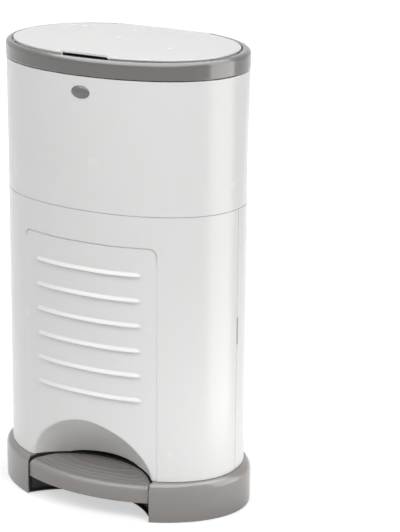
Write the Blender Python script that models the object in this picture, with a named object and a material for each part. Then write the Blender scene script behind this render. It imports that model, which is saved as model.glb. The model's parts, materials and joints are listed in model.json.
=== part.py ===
"""Nappy bin: an oval pedal bin with a refill ring in its top and an emptying door in front.

Metres, +Z up. The front faces -Y, the width runs along X, and the origin is the centre of the
floor face. Every outline is an oval (a superellipse), given by its half width, half depth and
roundness.
"""
import math

import bmesh
import bpy
from mathutils import Matrix, Vector

# Body column: half width, half depth and roundness near the floor and near the rim
BODY_LOW = (0.1908, 0.1223, 2.16)
BODY_HIGH = (0.1895, 0.1296, 2.12)
BODY_LOW_Z = 0.070
BODY_HIGH_Z = 0.670
WALL = 0.0030
FIT = 0.0004
SIDES = 56
WELD_REACH = 0.00001

# Heights of the parting lines
SKIRT_TOP = 0.0622
SHELL_BOTTOM = 0.0627
SEAM_LOW = 0.4698
SEAM_HIGH = 0.4705
RIM_BOTTOM = 0.6680
SHELL_TOP = 0.6675

# Base skirt
BASE_OVAL = (0.2040, 0.1385, 1.96)
BASE_LIFT = 0.0010
SHOULDER = 0.0117
DECK_BOTTOM = 0.0580
DECK_TOP = 0.0608
DECK_EDGE = 0.0060
FOOT_SPOTS = (("front_left", -0.150, -0.058), ("front_right", 0.150, -0.058),
              ("back_left", -0.108, 0.083), ("back_right", 0.108, 0.083))
FOOT_HEIGHT = 0.0030
FOOT_RADIUS = 0.0080
FOOT_TOP_RADIUS = 0.0088
BOSS_RADIUS = 0.0070

# Pedal and the opening that it sits in
WELL_HALF = 0.1067
WELL_BACK_Y = -0.0500
WELL_RADIUS = 0.1305
WELL_LIP_BOTTOM = 0.0465
LINER_WALL = 0.0025
LINER_FRONT_Y = -0.1122
LINER_FLANGE_REACH = 0.0070
LINER_FLANGE_TOP = 0.0032
ARM_X = 0.0450
ARM_SLOT_HALF = 0.0078
ARM_SLOT_BOTTOM = 0.0200
PEDAL_HALF = 0.1047
PEDAL_INSET = 0.0030
PEDAL_BOTTOM = 0.0300
PEDAL_TOP = 0.0565
PEDAL_BACK_GAP = 0.0030
PEDAL_SHOULDER = 0.0090
PEDAL_WALL = 0.0030
RIDGE_COUNT = 4
RIDGE_FIRST = 0.0175
RIDGE_PITCH = 0.0080
RIDGE_HEIGHT = 0.0011
PEDAL_AXIS = Vector((0.0, -0.0140, 0.0300))
AXLE_RADIUS = 0.0030
AXLE_HALF = 0.0895
BEARING_X = 0.0840
BEARING_HALF = 0.0060
BEARING_DEPTH_HALF = 0.0085
BEARING_DROP = 0.0080
LEVER_REACH = 0.1198
LEVER_HALF = 0.0600
LEVER_RADIUS = 0.0075
ARM_HALF = 0.0060
PAD_HALF = 0.0050
REAR_ARM_HALF = 0.0090
REAR_TIP_RADIUS = 0.0058

SIDE_NAMES = ((-1.0, "left"), (1.0, "right"))
LEFT_RIGHT = ("left", "right")
POST_SCREW_X = (-0.1785, 0.1785)
POST_SCREW_Y = 0.0045

# Small fixings: pins, the bores they turn in, and screws as (head radius, head, shank radius, shank)
PIN_RADIUS = 0.0015
PIN_BORE = 0.0018
DOOR_PIN_BORE = 0.0019
DOOR_PIN_LENGTH = 0.0190
DOOR_PIN_LOW = (0.0555, 0.4575)
FLAP_PIN_RADIUS = 0.0010
FLAP_BORE = 0.0013
FLAP_PIN_HALF = 0.0560
POST_SCREW = (0.0038, 0.0024, 0.0018, 0.0150)
POST_SCREW_HOLE = 0.0022
HOPPER_SCREW = (0.0032, 0.0024, 0.0015, 0.0055)
HOPPER_SCREW_HOLE = 0.0019

# Frame behind the door and the rod's guides
POST_INNER_X = 0.1720
POST_OUTER_X = 0.1850
POST_FRONT_Y = -0.0033
POST_BACK_Y = 0.0120
COLLAR_HEIGHT = 0.0080
COLLAR_INSET = 0.0150
GUIDE_HEIGHTS = (("lower", 0.2000), ("upper", 0.4000))
GUIDE_HALF = 0.0120
GUIDE_HALF_HEIGHT = 0.0060
GUIDE_FRONT = 0.0070

# Front door
DOOR_SPLIT_Y = -0.0045
DOOR_AXIS = Vector((-0.1845, -0.0105, 0.0))
DOOR_BARREL = 0.0055
PANEL_HALF = 0.1115
PANEL_TOP = 0.4225
PANEL_BOTTOM = 0.0400
PANEL_CORNER = 0.0110
PANEL_DEPTH = 0.0016
RIB_COUNT = 6
RIB_HALF = 0.0892
RIB_FIRST_Z = 0.3815
RIB_PITCH = 0.0385
RIB_HEIGHT = 0.0100
RIB_PROUD = 0.0036
ARCH_HALF = 0.1045
ARCH_FOOT_Z = 0.0580
ARCH_RISE = 0.0843
ARCH_ROUND = 1.8
ARCH_BACK_Y = -0.0520
HOOD_WALL = 0.0025
NOTCH_LOW = 0.2620
NOTCH_HIGH = 0.3040
NOTCH_BACK_Y = 0.0010
NOTCH_FRONT_Y = -0.0170
NOTCH_FLOOR_X = 0.1790
CATCH_LOW = 0.2770
CATCH_HIGH = 0.2890
CUTTER_LOW = 0.4285
CUTTER_HIGH = 0.4445
CUTTER_HALF = 0.0550
CUTTER_DEPTH = 0.0120
FILM_SLOT_HALF = 0.0400
FILM_SLOT_GAP = 0.0030

# Release button
BUTTON_Z = 0.6437
BUTTON_HALF_WIDTH = 0.0148
BUTTON_HALF_HEIGHT = 0.0090
BUTTON_FACE_Y = -0.1300
BUTTON_RINGS = ((0.50, 0.50, -0.1318), (0.85, 0.85, -0.1312), (1.0, 1.0, -0.1300), (1.0, 1.0, -0.1246),
                (1.16, 1.04, -0.1246), (1.16, 1.04, -0.1226), (0.55, 0.55, -0.1226), (0.55, 0.55, -0.1180))
BUTTON_SPRING_BACK_Y = -0.1083
BUTTON_SPRING_LENGTH = 0.0094
HOUSING_HALF = 0.0215
HOUSING_HALF_HEIGHT = 0.0125
POCKET_HALF = 0.0185
POCKET_HALF_HEIGHT = 0.0108

# Refill and its shelf
SHELF_BOTTOM = 0.5780
SHELF_TOP = 0.5805
SHELF_HOLE = (0.1440, 0.0860, 2.15)
SHELF_HOLE_Y = -0.0080
REFILL_TOP = 0.6200
REFILL_OUTER = (0.1690, 0.1020, 2.15)
REFILL_INNER = (0.1400, 0.0830, 2.15)
REFILL_ROUND = 0.0040
REFILL_Y = -0.0090

# Top frame: rim, hopper and flaps
FRAME_AXIS = Vector((0.0, 0.1350, 0.6678))
KNUCKLE_RADIUS = 0.0035
KNUCKLE_X = 0.0610
KNUCKLE_OFFSET = 0.0152
KNUCKLE_HALF = 0.0056
SHELL_LUG_HALF = 0.0090
FRAME_PIN_HALF = 0.0215
RIM_PROUD = 0.0010
RIM_TOP = 0.6945
RIM_TILT = 0.0155
RIM_ROUND = 0.0042
RIM_INNER_DROP = 0.0008
LEDGE_TOP = 0.6900
LEDGE_BOTTOM = 0.6870
LEDGE_OVAL = (0.1660, 0.1060, 2.15)
RIM_WALL = 0.0031
LID_TROUGH_HALF = 0.0503
ROD_SLOT_HALF = 0.0105
HOPPER_Y = -0.0030
HOPPER_WALL = 0.0025
THROAT = (0.0740, 0.0600, 8.0)
THROAT_BOTTOM = 0.5985
FLANGE_OVAL = (0.1745, 0.1135, 2.15)
FLANGE_BOTTOM = 0.6830
FLANGE_TOP = 0.6866
SCREW_OVAL = (0.1700, 0.1095, 2.15)
SCREW_START = 0.6802
HOPPER_LUG_Y = 0.0520
HOPPER_LUG_HALF = 0.0022
HOPPER_SCREW_SPOTS = (6, 22, 34, 50)
FLAP_AXIS_X = 0.0755
FLAP_AXIS_Z = 0.5948
FLAP_OUTLINE = ((0.0010, -0.0565), (0.0640, -0.0565), (0.0640, -0.0490), (0.0715, -0.0490),
                (0.0715, 0.0490), (0.0640, 0.0490), (0.0640, 0.0565), (0.0010, 0.0565))
FLAP_BOTTOM = 0.5952
FLAP_TOP = 0.5972
FLAP_RIB_SPOTS = (-0.0300, 0.0, 0.0300)
FLAP_RIB_HALF = 0.0010
FLAP_BARREL = 0.0028
FLAP_SPRING_Y = 0.0305

# Lid
LID_OVAL = (0.1755, 0.1188, 2.20)
LID_Y = -0.0025
LID_SIDE_GAP = 0.0030
LID_FRONT_GAP = 0.0016
LID_AXIS = Vector((0.0, 0.1190, 0.6900))
LID_BARREL = 0.0055
LID_BARREL_X = 0.0307
LID_BARREL_HALF = 0.0188
LID_PIN_X = 0.0365
LID_PIN_HALF = 0.0250
SEAL_OUTER = (0.1640, 0.1000, 2.20)
SEAL_INNER = (0.1600, 0.0960, 2.20)
SEAL_BOTTOM = 0.6870
SEAL_TOP = 0.6941
SEAL_Y = -0.0030
LID_EDGE_TOP = 0.6968
LID_DOME = 0.0040
LID_WALL = 0.0028
LID_PLATE_BOTTOM = 0.6941
LID_SKIRT_BOTTOM = 0.6906
TONGUE_HALF = 0.0805
TONGUE_BACK_Y = 0.1158
FINGER_REACH = 0.0150
FINGER_ANGLE = math.radians(40.0)
FINGER_TIP = 0.0020
SLOT_HALF = 0.0385
SLOT_DEPTH = 0.0080
SLOT_LEDGE_Y = -0.1080

# Push rod
ROD_Y = 0.1058
ROD_RADIUS = 0.0025
ROD_FOOT_RADIUS = 0.0060
ROD_TOP = 0.6776
ROD_FOOT_LOW = 0.0322
ROD_FOOT_HEIGHT = 0.0110
ROD_FOOT_FLOOR = 0.0040
ROD_TIP_RADIUS = 0.0045
ROD_TIP_HEIGHT = 0.0080
ROD_TIP_ROOF = 0.0020
ROD_SOCKET_GAP = 0.0003


def clear_scene():
    for item in list(bpy.data.objects):
        bpy.data.objects.remove(item, do_unlink=True)


def make_material(name, colour, roughness, metallic=0.0):
    material = bpy.data.materials.new(name)
    material.use_nodes = True
    shader = material.node_tree.nodes["Principled BSDF"]
    shader.inputs["Base Color"].default_value = (*colour, 1.0)
    shader.inputs["Roughness"].default_value = roughness
    shader.inputs["Metallic"].default_value = metallic
    return material


def place(name, bm, material, origin=(0.0, 0.0, 0.0), smooth_angle=30.0):
    """Turn a bmesh in world coordinates into an object whose origin is the given point."""
    bmesh.ops.recalc_face_normals(bm, faces=bm.faces)
    bmesh.ops.translate(bm, verts=bm.verts, vec=-Vector(origin))
    mesh = bpy.data.meshes.new(name)
    bm.to_mesh(mesh)
    bm.free()
    mesh.shade_smooth()
    mesh.set_sharp_from_angle(angle=math.radians(smooth_angle))
    item = bpy.data.objects.new(name, mesh)
    item.location = origin
    bpy.context.scene.collection.objects.link(item)
    if material is not None:
        mesh.materials.append(material)
    return item


def place_each(name, labels, meshes, material, origin=(0.0, 0.0, 0.0)):
    """Place copies of a repeated piece, each as its own object."""
    return [place(f"{name}_{label}", bm, material, origin) for label, bm in zip(labels, meshes)]


def combine(item, bm, operation, label):
    """Add a live Boolean whose tool is the given bmesh, kept as a hidden guide object."""
    name = f"guide_{item.name}_{label}"
    tool = place(name, bm, None)
    tool.hide_render = True
    tool.display_type = "WIRE"
    modifier = item.modifiers.new(label, "BOOLEAN")
    modifier.operation = operation
    modifier.solver = "EXACT"
    modifier.object = tool
    weld = item.modifiers.new(f"{label}_weld", "WELD")
    weld.merge_threshold = WELD_REACH
    return tool


def cut(item, bm, label):
    return combine(item, bm, "DIFFERENCE", label)


def join(item, bm, label):
    return combine(item, bm, "UNION", label)


def body_oval(z, inset=0.0):
    """The column's outline at a height, drawn in by the given distance."""
    share = (z - BODY_LOW_Z) / (BODY_HIGH_Z - BODY_LOW_Z)
    low, high = BODY_LOW, BODY_HIGH
    half_width = low[0] + (high[0] - low[0]) * share - inset
    half_depth = low[1] + (high[1] - low[1]) * share - inset
    return half_width, half_depth, low[2] + (high[2] - low[2]) * share


def oval_ring(oval, z, inset=0.0, y_shift=0.0, sides=SIDES):
    """Points of an oval at one height, running anticlockwise seen from above."""
    half_width, half_depth, roundness = oval
    points = []
    for step in range(sides):
        angle = 2.0 * math.pi * step / sides
        cosine, sine = math.cos(angle), math.sin(angle)
        x = (half_width - inset) * math.copysign(abs(cosine) ** (2.0 / roundness), cosine)
        y = (half_depth - inset) * math.copysign(abs(sine) ** (2.0 / roundness), sine)
        points.append(Vector((x, y + y_shift, z)))
    return points


def front_y(oval, x, inset=0.0):
    """The front of an oval at a given x."""
    half_width, half_depth, roundness = oval
    share = min(1.0, abs(x) / (half_width - inset))
    return -(half_depth - inset) * (1.0 - share ** roundness) ** (1.0 / roundness)


def loft(rings, closed=False):
    """Skin between rings of equal length. A closed loft joins the last ring to the first."""
    bm = bmesh.new()
    rows = [[bm.verts.new(point) for point in ring] for ring in rings]
    pairs = list(zip(rows, rows[1:]))
    if closed:
        pairs.append((rows[-1], rows[0]))
    count = len(rows[0])
    for low, high in pairs:
        for i in range(count):
            j = (i + 1) % count
            bm.faces.new((low[i], low[j], high[j], high[i]))
    if not closed:
        bm.faces.new(list(reversed(rows[0])))
        bm.faces.new(rows[-1])
    return bm


def block(low, high):
    """A box between two corners."""
    low, high = Vector(low), Vector(high)
    bm = bmesh.new()
    size = high - low
    middle = (low + high) / 2.0
    matrix = Matrix.Translation(middle) @ Matrix.Diagonal((*size, 1.0))
    bmesh.ops.create_cube(bm, size=1.0, matrix=matrix)
    return bm


AXIS_TURN = {
    "X": Matrix.Rotation(math.radians(90.0), 4, "Y"),
    "Y": Matrix.Rotation(math.radians(-90.0), 4, "X"),
    "Z": Matrix.Identity(4),
}


def rod(axis, start, length, radius, sides=16, end_radius=None):
    """A cylinder or cone from a start point along an axis."""
    bm = bmesh.new()
    bmesh.ops.create_cone(
        bm, cap_ends=True, segments=sides, radius1=radius,
        radius2=radius if end_radius is None else end_radius, depth=length,
        matrix=Matrix.Translation(Vector((0.0, 0.0, length / 2.0))))
    bmesh.ops.transform(bm, matrix=Matrix.Translation(Vector(start)) @ AXIS_TURN[axis],
                        verts=bm.verts)
    return bm


def turned(axis, start, profile, sides=16, closed=False):
    """Turn a profile of (radius, distance along the axis) about an axis."""
    rings = []
    for radius, along in profile:
        rings.append([Vector((radius * math.cos(2.0 * math.pi * i / sides),
                              radius * math.sin(2.0 * math.pi * i / sides), along))
                      for i in range(sides)])
    bm = loft(rings, closed)
    bmesh.ops.transform(bm, matrix=Matrix.Translation(Vector(start)) @ AXIS_TURN[axis],
                        verts=bm.verts)
    return bm


def tube(axis, start, length, outer, inner, sides=16):
    """A straight tube from a start point along an axis."""
    profile = [(outer, 0.0), (outer, length), (inner, length), (inner, 0.0)]
    return turned(axis, start, profile, sides, closed=True)


def screw(start, head_radius, head_height, shank_radius, shank_length):
    """A pan-head screw pointing up, its head at the start point."""
    top = head_height + shank_length
    return turned("Z", start, [(head_radius * 0.8, 0.0), (head_radius, head_height * 0.35),
                               (head_radius, head_height), (shank_radius, head_height),
                               (shank_radius, top)], 10)


def gather(*meshes):
    """Put separate shapes that don't touch into one bmesh."""
    whole = bmesh.new()
    for bm in meshes:
        scratch = bpy.data.meshes.new("scratch")
        bm.to_mesh(scratch)
        bm.free()
        whole.from_mesh(scratch)
        bpy.data.meshes.remove(scratch)
    return whole


def prism_along_y(outline, y_low, y_high):
    """Extrude an outline of (x, z) points along Y."""
    front = [Vector((x, y_low, z)) for x, z in outline]
    back = [Vector((x, y_high, z)) for x, z in outline]
    return loft([front, back])


def ellipse_outline(half_width, half_height, z, sides=24):
    return [(half_width * math.cos(2.0 * math.pi * i / sides),
             z + half_height * math.sin(2.0 * math.pi * i / sides)) for i in range(sides)]


def rounded_outline(half_width, low, high, corner, steps=6):
    """A rectangle in (x, z) with rounded corners, anticlockwise."""
    points = []
    centres = ((half_width - corner, low + corner, -90.0), (half_width - corner, high - corner, 0.0),
               (corner - half_width, high - corner, 90.0), (corner - half_width, low + corner, 180.0))
    for x, z, first in centres:
        for step in range(steps + 1):
            angle = math.radians(first + 90.0 * step / steps)
            points.append((x + corner * math.cos(angle), z + corner * math.sin(angle)))
    return points


def arc_profile(centre_inset, centre_z, radius, first, last, steps):
    """Points of an arc as (inset, height), angles from straight out at 0 to straight up at 90."""
    points = []
    for step in range(steps + 1):
        angle = math.radians(first + (last - first) * step / steps)
        points.append((centre_inset - radius * math.cos(angle), centre_z + radius * math.sin(angle)))
    return points


def coil(axis, start, length, radius, wire, turns, steps=8, sides=4):
    """A spring's wire as one unbroken tube along an axis."""
    rings = []
    total = int(turns * steps)
    for step in range(total + 1):
        angle = 2.0 * math.pi * step / steps
        along = wire + (length - 2.0 * wire) * step / total
        out = Vector((math.cos(angle), math.sin(angle), 0.0))
        ring = []
        for side in range(sides):
            tilt = 2.0 * math.pi * side / sides
            ring.append(out * (radius + wire * math.cos(tilt))
                        + Vector((0.0, 0.0, along - wire * math.sin(tilt))))
        rings.append(ring)
    bm = loft(rings)
    bmesh.ops.transform(bm, matrix=Matrix.Translation(Vector(start)) @ AXIS_TURN[axis],
                        verts=bm.verts)
    return bm


def well_back(x, gap=0.0):
    """The arc behind the pedal, as y at a given x; a gap moves it towards the back."""
    radius = WELL_RADIUS + gap
    return WELL_BACK_Y - WELL_RADIUS + math.sqrt(radius ** 2 - x ** 2)


def well_outline(half, gap, z, front, steps=24):
    """The pedal opening seen from above: its back arc, then a straight front."""
    points = [Vector((half, front, z))]
    for step in range(steps + 1):
        x = half - 2.0 * half * step / steps
        points.append(Vector((x, well_back(x, gap), z)))
    points.append(Vector((-half, front, z)))
    return points


def build_base(grey, rubber, steel):
    """The skirt with its deck, the feet, and the bearings and axle that carry the pedal."""
    profile = [(0.0, BASE_LIFT)]
    profile += arc_profile(SHOULDER, SKIRT_TOP - SHOULDER, SHOULDER, 0.0, 90.0, 4)
    inner = SHOULDER - WALL
    profile += [(SHOULDER + DECK_EDGE, SKIRT_TOP), (SHOULDER + DECK_EDGE, SKIRT_TOP - WALL)]
    profile += reversed(arc_profile(SHOULDER, SKIRT_TOP - SHOULDER, inner, 0.0, 90.0, 2))
    profile += [(WALL, BASE_LIFT)]
    skirt = place("base_skirt", loft([oval_ring(BASE_OVAL, z, inset) for inset, z in profile],
                                     closed=True), grey)
    deck = loft([oval_ring(BASE_OVAL, z, SHOULDER + 0.0020) for z in (DECK_BOTTOM, DECK_TOP)])
    join(skirt, deck, "deck")
    cut(skirt, loft([well_outline(WELL_HALF, 0.0, z, -0.20) for z in (-0.01, 0.09)]), "pedal_well")
    lip_front = well_outline(WELL_HALF + 0.0030, 0.0, 0.0, -0.1130)[1:-1]
    lip_back = list(reversed(well_outline(WELL_HALF + 0.0030, 0.0025, 0.0, -0.1130)[1:-1]))
    lip = lip_front + lip_back
    rings = [[Vector((point.x, point.y + 0.0001, z)) for point in lip]
             for z in (WELL_LIP_BOTTOM, DECK_BOTTOM + 0.0010)]
    join(skirt, loft(rings), "well_lip")
    bosses = gather(*[rod("Z", (x, y, FOOT_HEIGHT + 0.0003), DECK_BOTTOM - 0.0023, BOSS_RADIUS, 20)
                      for _, x, y in FOOT_SPOTS])
    join(skirt, bosses, "foot_bosses")
    holes = gather(rod("Z", (0.0, ROD_Y, 0.050), 0.020, ROD_FOOT_RADIUS + 0.0012, 20),
                   *[rod("Z", (x, POST_SCREW_Y, 0.050), 0.020, POST_SCREW_HOLE, 12) for x in POST_SCREW_X],
                   rod("Z", (DOOR_AXIS.x, DOOR_AXIS.y, 0.0520), 0.020, DOOR_PIN_BORE, 12))
    cut(skirt, holes, "deck_holes")
    for label, x, y in FOOT_SPOTS:
        place(f"rubber_foot_{label}", rod("Z", (x, y, 0.0), FOOT_HEIGHT, FOOT_RADIUS, 20, FOOT_TOP_RADIUS),
              rubber)
    hub = PEDAL_AXIS
    for side, label in SIDE_NAMES:
        middle = side * BEARING_X
        bearing = place(f"axle_bearing_{label}", block(
            (middle - BEARING_HALF, hub.y - BEARING_DEPTH_HALF, hub.z - BEARING_DROP),
            (middle + BEARING_HALF, hub.y + BEARING_DEPTH_HALF, DECK_BOTTOM - FIT)), grey, hub)
        cut(bearing, rod("X", (-0.10, hub.y, hub.z), 0.20, AXLE_RADIUS + 0.0002), "axle_hole")
    place("pedal_axle", rod("X", (-AXLE_HALF, hub.y, hub.z), 2.0 * AXLE_HALF, AXLE_RADIUS), steel, hub)
    spring = coil("X", (0.0620, hub.y, hub.z), 0.0140, 0.0056, 0.0006, 5.0)
    place("pedal_spring", spring, steel, hub)


def build_well_liner(dark):
    """The dark wall behind the pedal, with a flange at its foot and slots for the lever's arms."""
    top = WELL_LIP_BOTTOM - FIT
    front = well_outline(WELL_HALF, 0.0, 0.0, LINER_FRONT_Y)
    back = well_outline(WELL_HALF + LINER_WALL, LINER_WALL, 0.0, LINER_FRONT_Y)
    outline = front + list(reversed(back))
    liner = place("pedal_well_liner", loft([[Vector((point.x, point.y, z)) for point in outline]
                                            for z in (BASE_LIFT, top)]), dark)
    inside = [point for point in front if point.y > LINER_FRONT_Y]
    reach = [Vector((point.x, max(LINER_FRONT_Y, point.y - LINER_FLANGE_REACH), 0.0))
             for point in reversed(inside)]
    overlap = Vector((0.0, LINER_WALL * 0.5, 0.0))
    outline = [point + overlap for point in inside] + reach
    join(liner, loft([[Vector((point.x, point.y, z)) for point in outline]
                      for z in (BASE_LIFT + 0.0002, LINER_FLANGE_TOP)]), "flange")
    slots = [block((side * ARM_X - ARM_SLOT_HALF, -0.0700, ARM_SLOT_BOTTOM),
                   (side * ARM_X + ARM_SLOT_HALF, -0.0400, top + 0.0100)) for side, _ in SIDE_NAMES]
    cut(liner, gather(*slots), "arm_slots")


def pedal_column(x, front, back):
    """One slice of the pedal's skin from front to back, as (y, z), outside then inside."""
    depth = back - front
    radius = min(PEDAL_SHOULDER, depth * 0.42)
    dish = 0.0030 * min(1.0, max(0.0, (depth - 0.016) / 0.030))
    top = PEDAL_TOP

    def surface(distance):
        """Height of the tread at a distance behind the front face."""
        along = max(0.0, distance - radius) / max(0.001, depth - radius)
        return top - dish * math.sin(math.pi * min(1.0, along * 1.15))

    outside = [(front, PEDAL_BOTTOM)]
    for step in range(6):
        angle = math.radians(90.0 * step / 5.0)
        outside.append((front + radius * (1.0 - math.cos(angle)), top - radius + radius * math.sin(angle)))
    for ridge in range(RIDGE_COUNT):
        start = RIDGE_FIRST + RIDGE_PITCH * ridge
        fade = min(1.0, max(0.0, (depth - start - 0.004) / 0.006))
        for place_in_ridge, (offset, lift) in enumerate(((0.0, 0.0), (0.0020, 1.0), (0.0042, 0.0))):
            share = (3 * ridge + place_in_ridge + 1) / (3 * RIDGE_COUNT + 1)
            limit = radius + (depth - radius - 0.0022) * share
            distance = min(start + offset, limit)
            outside.append((front + distance, surface(distance) + lift * fade * RIDGE_HEIGHT))
    outside.append((back - 0.0012, surface(depth)))
    outside.append((back, surface(depth) - 0.0012))
    outside.append((back, top - 0.0060))
    inner_top = top - dish - PEDAL_WALL
    wall = min(PEDAL_WALL, depth * 0.30)
    inside = [(back - wall * 0.6, top - 0.0060), (back - wall * 0.8, inner_top - 0.0010),
              (front + wall + 0.0020, inner_top - 0.0010), (front + wall, inner_top - 0.0040),
              (front + wall, PEDAL_BOTTOM)]
    return [Vector((x, y, z)) for y, z in outside + inside]


def build_pedal(grey, dark):
    """The ribbed pedal tread and the lever under it that lifts the push rod."""
    columns = 26
    rings = []
    for step in range(columns + 1):
        x = PEDAL_HALF * math.sin(math.pi * (step / columns - 0.5) * 0.96) / math.sin(math.pi * 0.48)
        front = front_y(BASE_OVAL, x, PEDAL_INSET)
        rings.append(pedal_column(x, front, well_back(x) - PEDAL_BACK_GAP))
    place("pedal", loft(rings), grey, PEDAL_AXIS)
    hub = PEDAL_AXIS
    lever = place("pedal_lever", tube("X", (-LEVER_HALF, hub.y, hub.z), 2.0 * LEVER_HALF, LEVER_RADIUS,
                                      AXLE_RADIUS + 0.0003), dark, hub)
    for side, label in SIDE_NAMES:
        middle = side * ARM_X
        join(lever, block((middle - ARM_HALF, -0.1080, 0.0330),
                          (middle + ARM_HALF, hub.y - 0.0045, 0.0420)), f"arm_{label}")
        join(lever, block((middle - PAD_HALF, -0.1060, 0.0400), (middle + PAD_HALF, -0.0690, 0.0482)),
             f"pad_{label}")
    tip_y = hub.y + LEVER_REACH
    join(lever, block((-REAR_ARM_HALF, hub.y + 0.0045, 0.0225), (REAR_ARM_HALF, tip_y, 0.0305)),
         "rear_arm")
    join(lever, rod("X", (0.0002 - REAR_ARM_HALF, tip_y, 0.0256), 2.0 * (REAR_ARM_HALF - 0.0002),
                    REAR_TIP_RADIUS), "rear_tip")
    join(lever, block((-0.0500, hub.y - 0.0060, 0.0232), (0.0500, hub.y - 0.0045, 0.0368)), "hub_web")


def build_push_rod(steel, dark):
    slide = Vector((0.0, ROD_Y, ROD_FOOT_LOW))
    rod_low = ROD_FOOT_LOW + ROD_FOOT_FLOOR + ROD_SOCKET_GAP
    rod_high = ROD_TOP - ROD_TIP_ROOF - ROD_SOCKET_GAP
    place("push_rod", rod("Z", (0.0, ROD_Y, rod_low), rod_high - rod_low, ROD_RADIUS, 16), steel, slide)
    socket = ROD_RADIUS + ROD_SOCKET_GAP
    place("rod_foot", turned("Z", (0.0, ROD_Y, ROD_FOOT_LOW), [
        (socket, ROD_FOOT_FLOOR), (socket, ROD_FOOT_HEIGHT), (ROD_FOOT_RADIUS, ROD_FOOT_HEIGHT),
        (ROD_FOOT_RADIUS, 0.0)]), dark, slide)
    place("rod_tip", turned("Z", (0.0, ROD_Y, ROD_TOP - ROD_TIP_HEIGHT), [
        (socket, ROD_TIP_HEIGHT - ROD_TIP_ROOF), (socket, 0.0), (ROD_TIP_RADIUS, 0.0),
        (ROD_TIP_RADIUS, ROD_TIP_HEIGHT)]), dark, slide)


def column_wall(z_low, z_high, steps=1):
    """The full oval band between two heights."""
    heights = [z_low + (z_high - z_low) * step / steps for step in range(steps + 1)]
    rings = [oval_ring(body_oval(z), z) for z in heights]
    rings += [oval_ring(body_oval(z, WALL), z) for z in reversed(heights)]
    return loft(rings, closed=True)


def notch_cutter():
    """The finger notch across the right-hand split, open to the outside."""
    return block((NOTCH_FLOOR_X, NOTCH_FRONT_Y, NOTCH_LOW), (0.2000, NOTCH_BACK_Y, NOTCH_HIGH))


def build_shells(white, dark, steel):
    """The rear shell, upper shell, the frame behind the door and what is fixed to them."""
    rear = place("rear_shell", column_wall(SHELL_BOTTOM, SEAM_LOW), white)
    cut(rear, block((-0.30, -0.20, 0.0), (0.30, DOOR_SPLIT_Y + 0.0006, 0.60)), "front_half")
    cut(rear, notch_cutter(), "finger_notch")
    upper = place("upper_shell", column_wall(SEAM_HIGH, SHELL_TOP), white)
    hole = ellipse_outline(BUTTON_HALF_WIDTH + FIT, BUTTON_HALF_HEIGHT + FIT, BUTTON_Z)
    cut(upper, prism_along_y(hole, -0.20, -0.10), "button_hole")
    axis = FRAME_AXIS
    for side, label in SIDE_NAMES:
        low_x = side * KNUCKLE_X - SHELL_LUG_HALF
        web = block((low_x, 0.1195, 0.6540), (low_x + 2.0 * SHELL_LUG_HALF, axis.y, 0.6668))
        join(upper, web, f"lug_web_{label}")
        join(upper, rod("X", (low_x + 0.0001, axis.y, axis.z), 2.0 * SHELL_LUG_HALF - 0.0002,
                        KNUCKLE_RADIUS), f"lug_{label}")
    cut(upper, rod("X", (-0.12, axis.y, axis.z), 0.24, PIN_BORE, 12), "hinge_bore")
    pins = [rod("X", (side * KNUCKLE_X - FRAME_PIN_HALF, axis.y, axis.z), 2.0 * FRAME_PIN_HALF,
                PIN_RADIUS, 12) for side, _ in SIDE_NAMES]
    place_each("frame_hinge_pin", LEFT_RIGHT, pins, steel, axis)
    collar_low, collar_high = SEAM_HIGH + 2.0 * FIT, SEAM_HIGH + COLLAR_HEIGHT
    collar = [oval_ring(body_oval(z, inset), z) for inset, z in (
        (WALL + FIT, collar_low), (WALL + FIT, collar_high), (COLLAR_INSET, collar_high),
        (COLLAR_INSET, collar_low))]
    frame = place("door_frame", loft(collar, closed=True), white)
    for side, label in SIDE_NAMES:
        low_x, high_x = sorted((side * POST_INNER_X, side * POST_OUTER_X))
        join(frame, block((low_x, POST_FRONT_Y, DECK_TOP + FIT), (high_x, POST_BACK_Y, collar_low + 0.0020)),
             f"post_{label}")
    cut(frame, notch_cutter(), "finger_notch")
    screw_holes = [rod("Z", (x, POST_SCREW_Y, 0.0550), 0.0200, POST_SCREW_HOLE, 12) for x in POST_SCREW_X]
    screw_holes.append(rod("Z", (DOOR_AXIS.x, DOOR_AXIS.y, 0.4650), 0.0200, DOOR_PIN_BORE, 12))
    cut(frame, gather(*screw_holes), "screw_holes")
    screws = [screw((x, POST_SCREW_Y, 0.0552), *POST_SCREW) for x in POST_SCREW_X]
    place_each("post_screw", LEFT_RIGHT, screws, steel)
    pins = [rod("Z", (DOOR_AXIS.x, DOOR_AXIS.y, z), DOOR_PIN_LENGTH, PIN_RADIUS, 12) for z in DOOR_PIN_LOW]
    place_each("door_hinge_pin", ("lower", "upper"), pins, steel, DOOR_AXIS)
    strike = block((POST_INNER_X - 0.0026, 0.0005, CATCH_LOW - 0.0010),
                   (POST_INNER_X - FIT, 0.0100, CATCH_HIGH + 0.0010))
    place("door_strike", strike, steel)
    for label, z in GUIDE_HEIGHTS:
        wall_y = body_oval(z, WALL + FIT)[1] - 0.0002
        guide = place(f"rod_guide_{label}", block((-GUIDE_HALF, ROD_Y - GUIDE_FRONT, z - GUIDE_HALF_HEIGHT),
                                                  (GUIDE_HALF, wall_y, z + GUIDE_HALF_HEIGHT)), dark)
        cut(guide, rod("Z", (0.0, ROD_Y, 0.15), 0.30, ROD_RADIUS + 0.0003, 16), "rod_bore")


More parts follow.
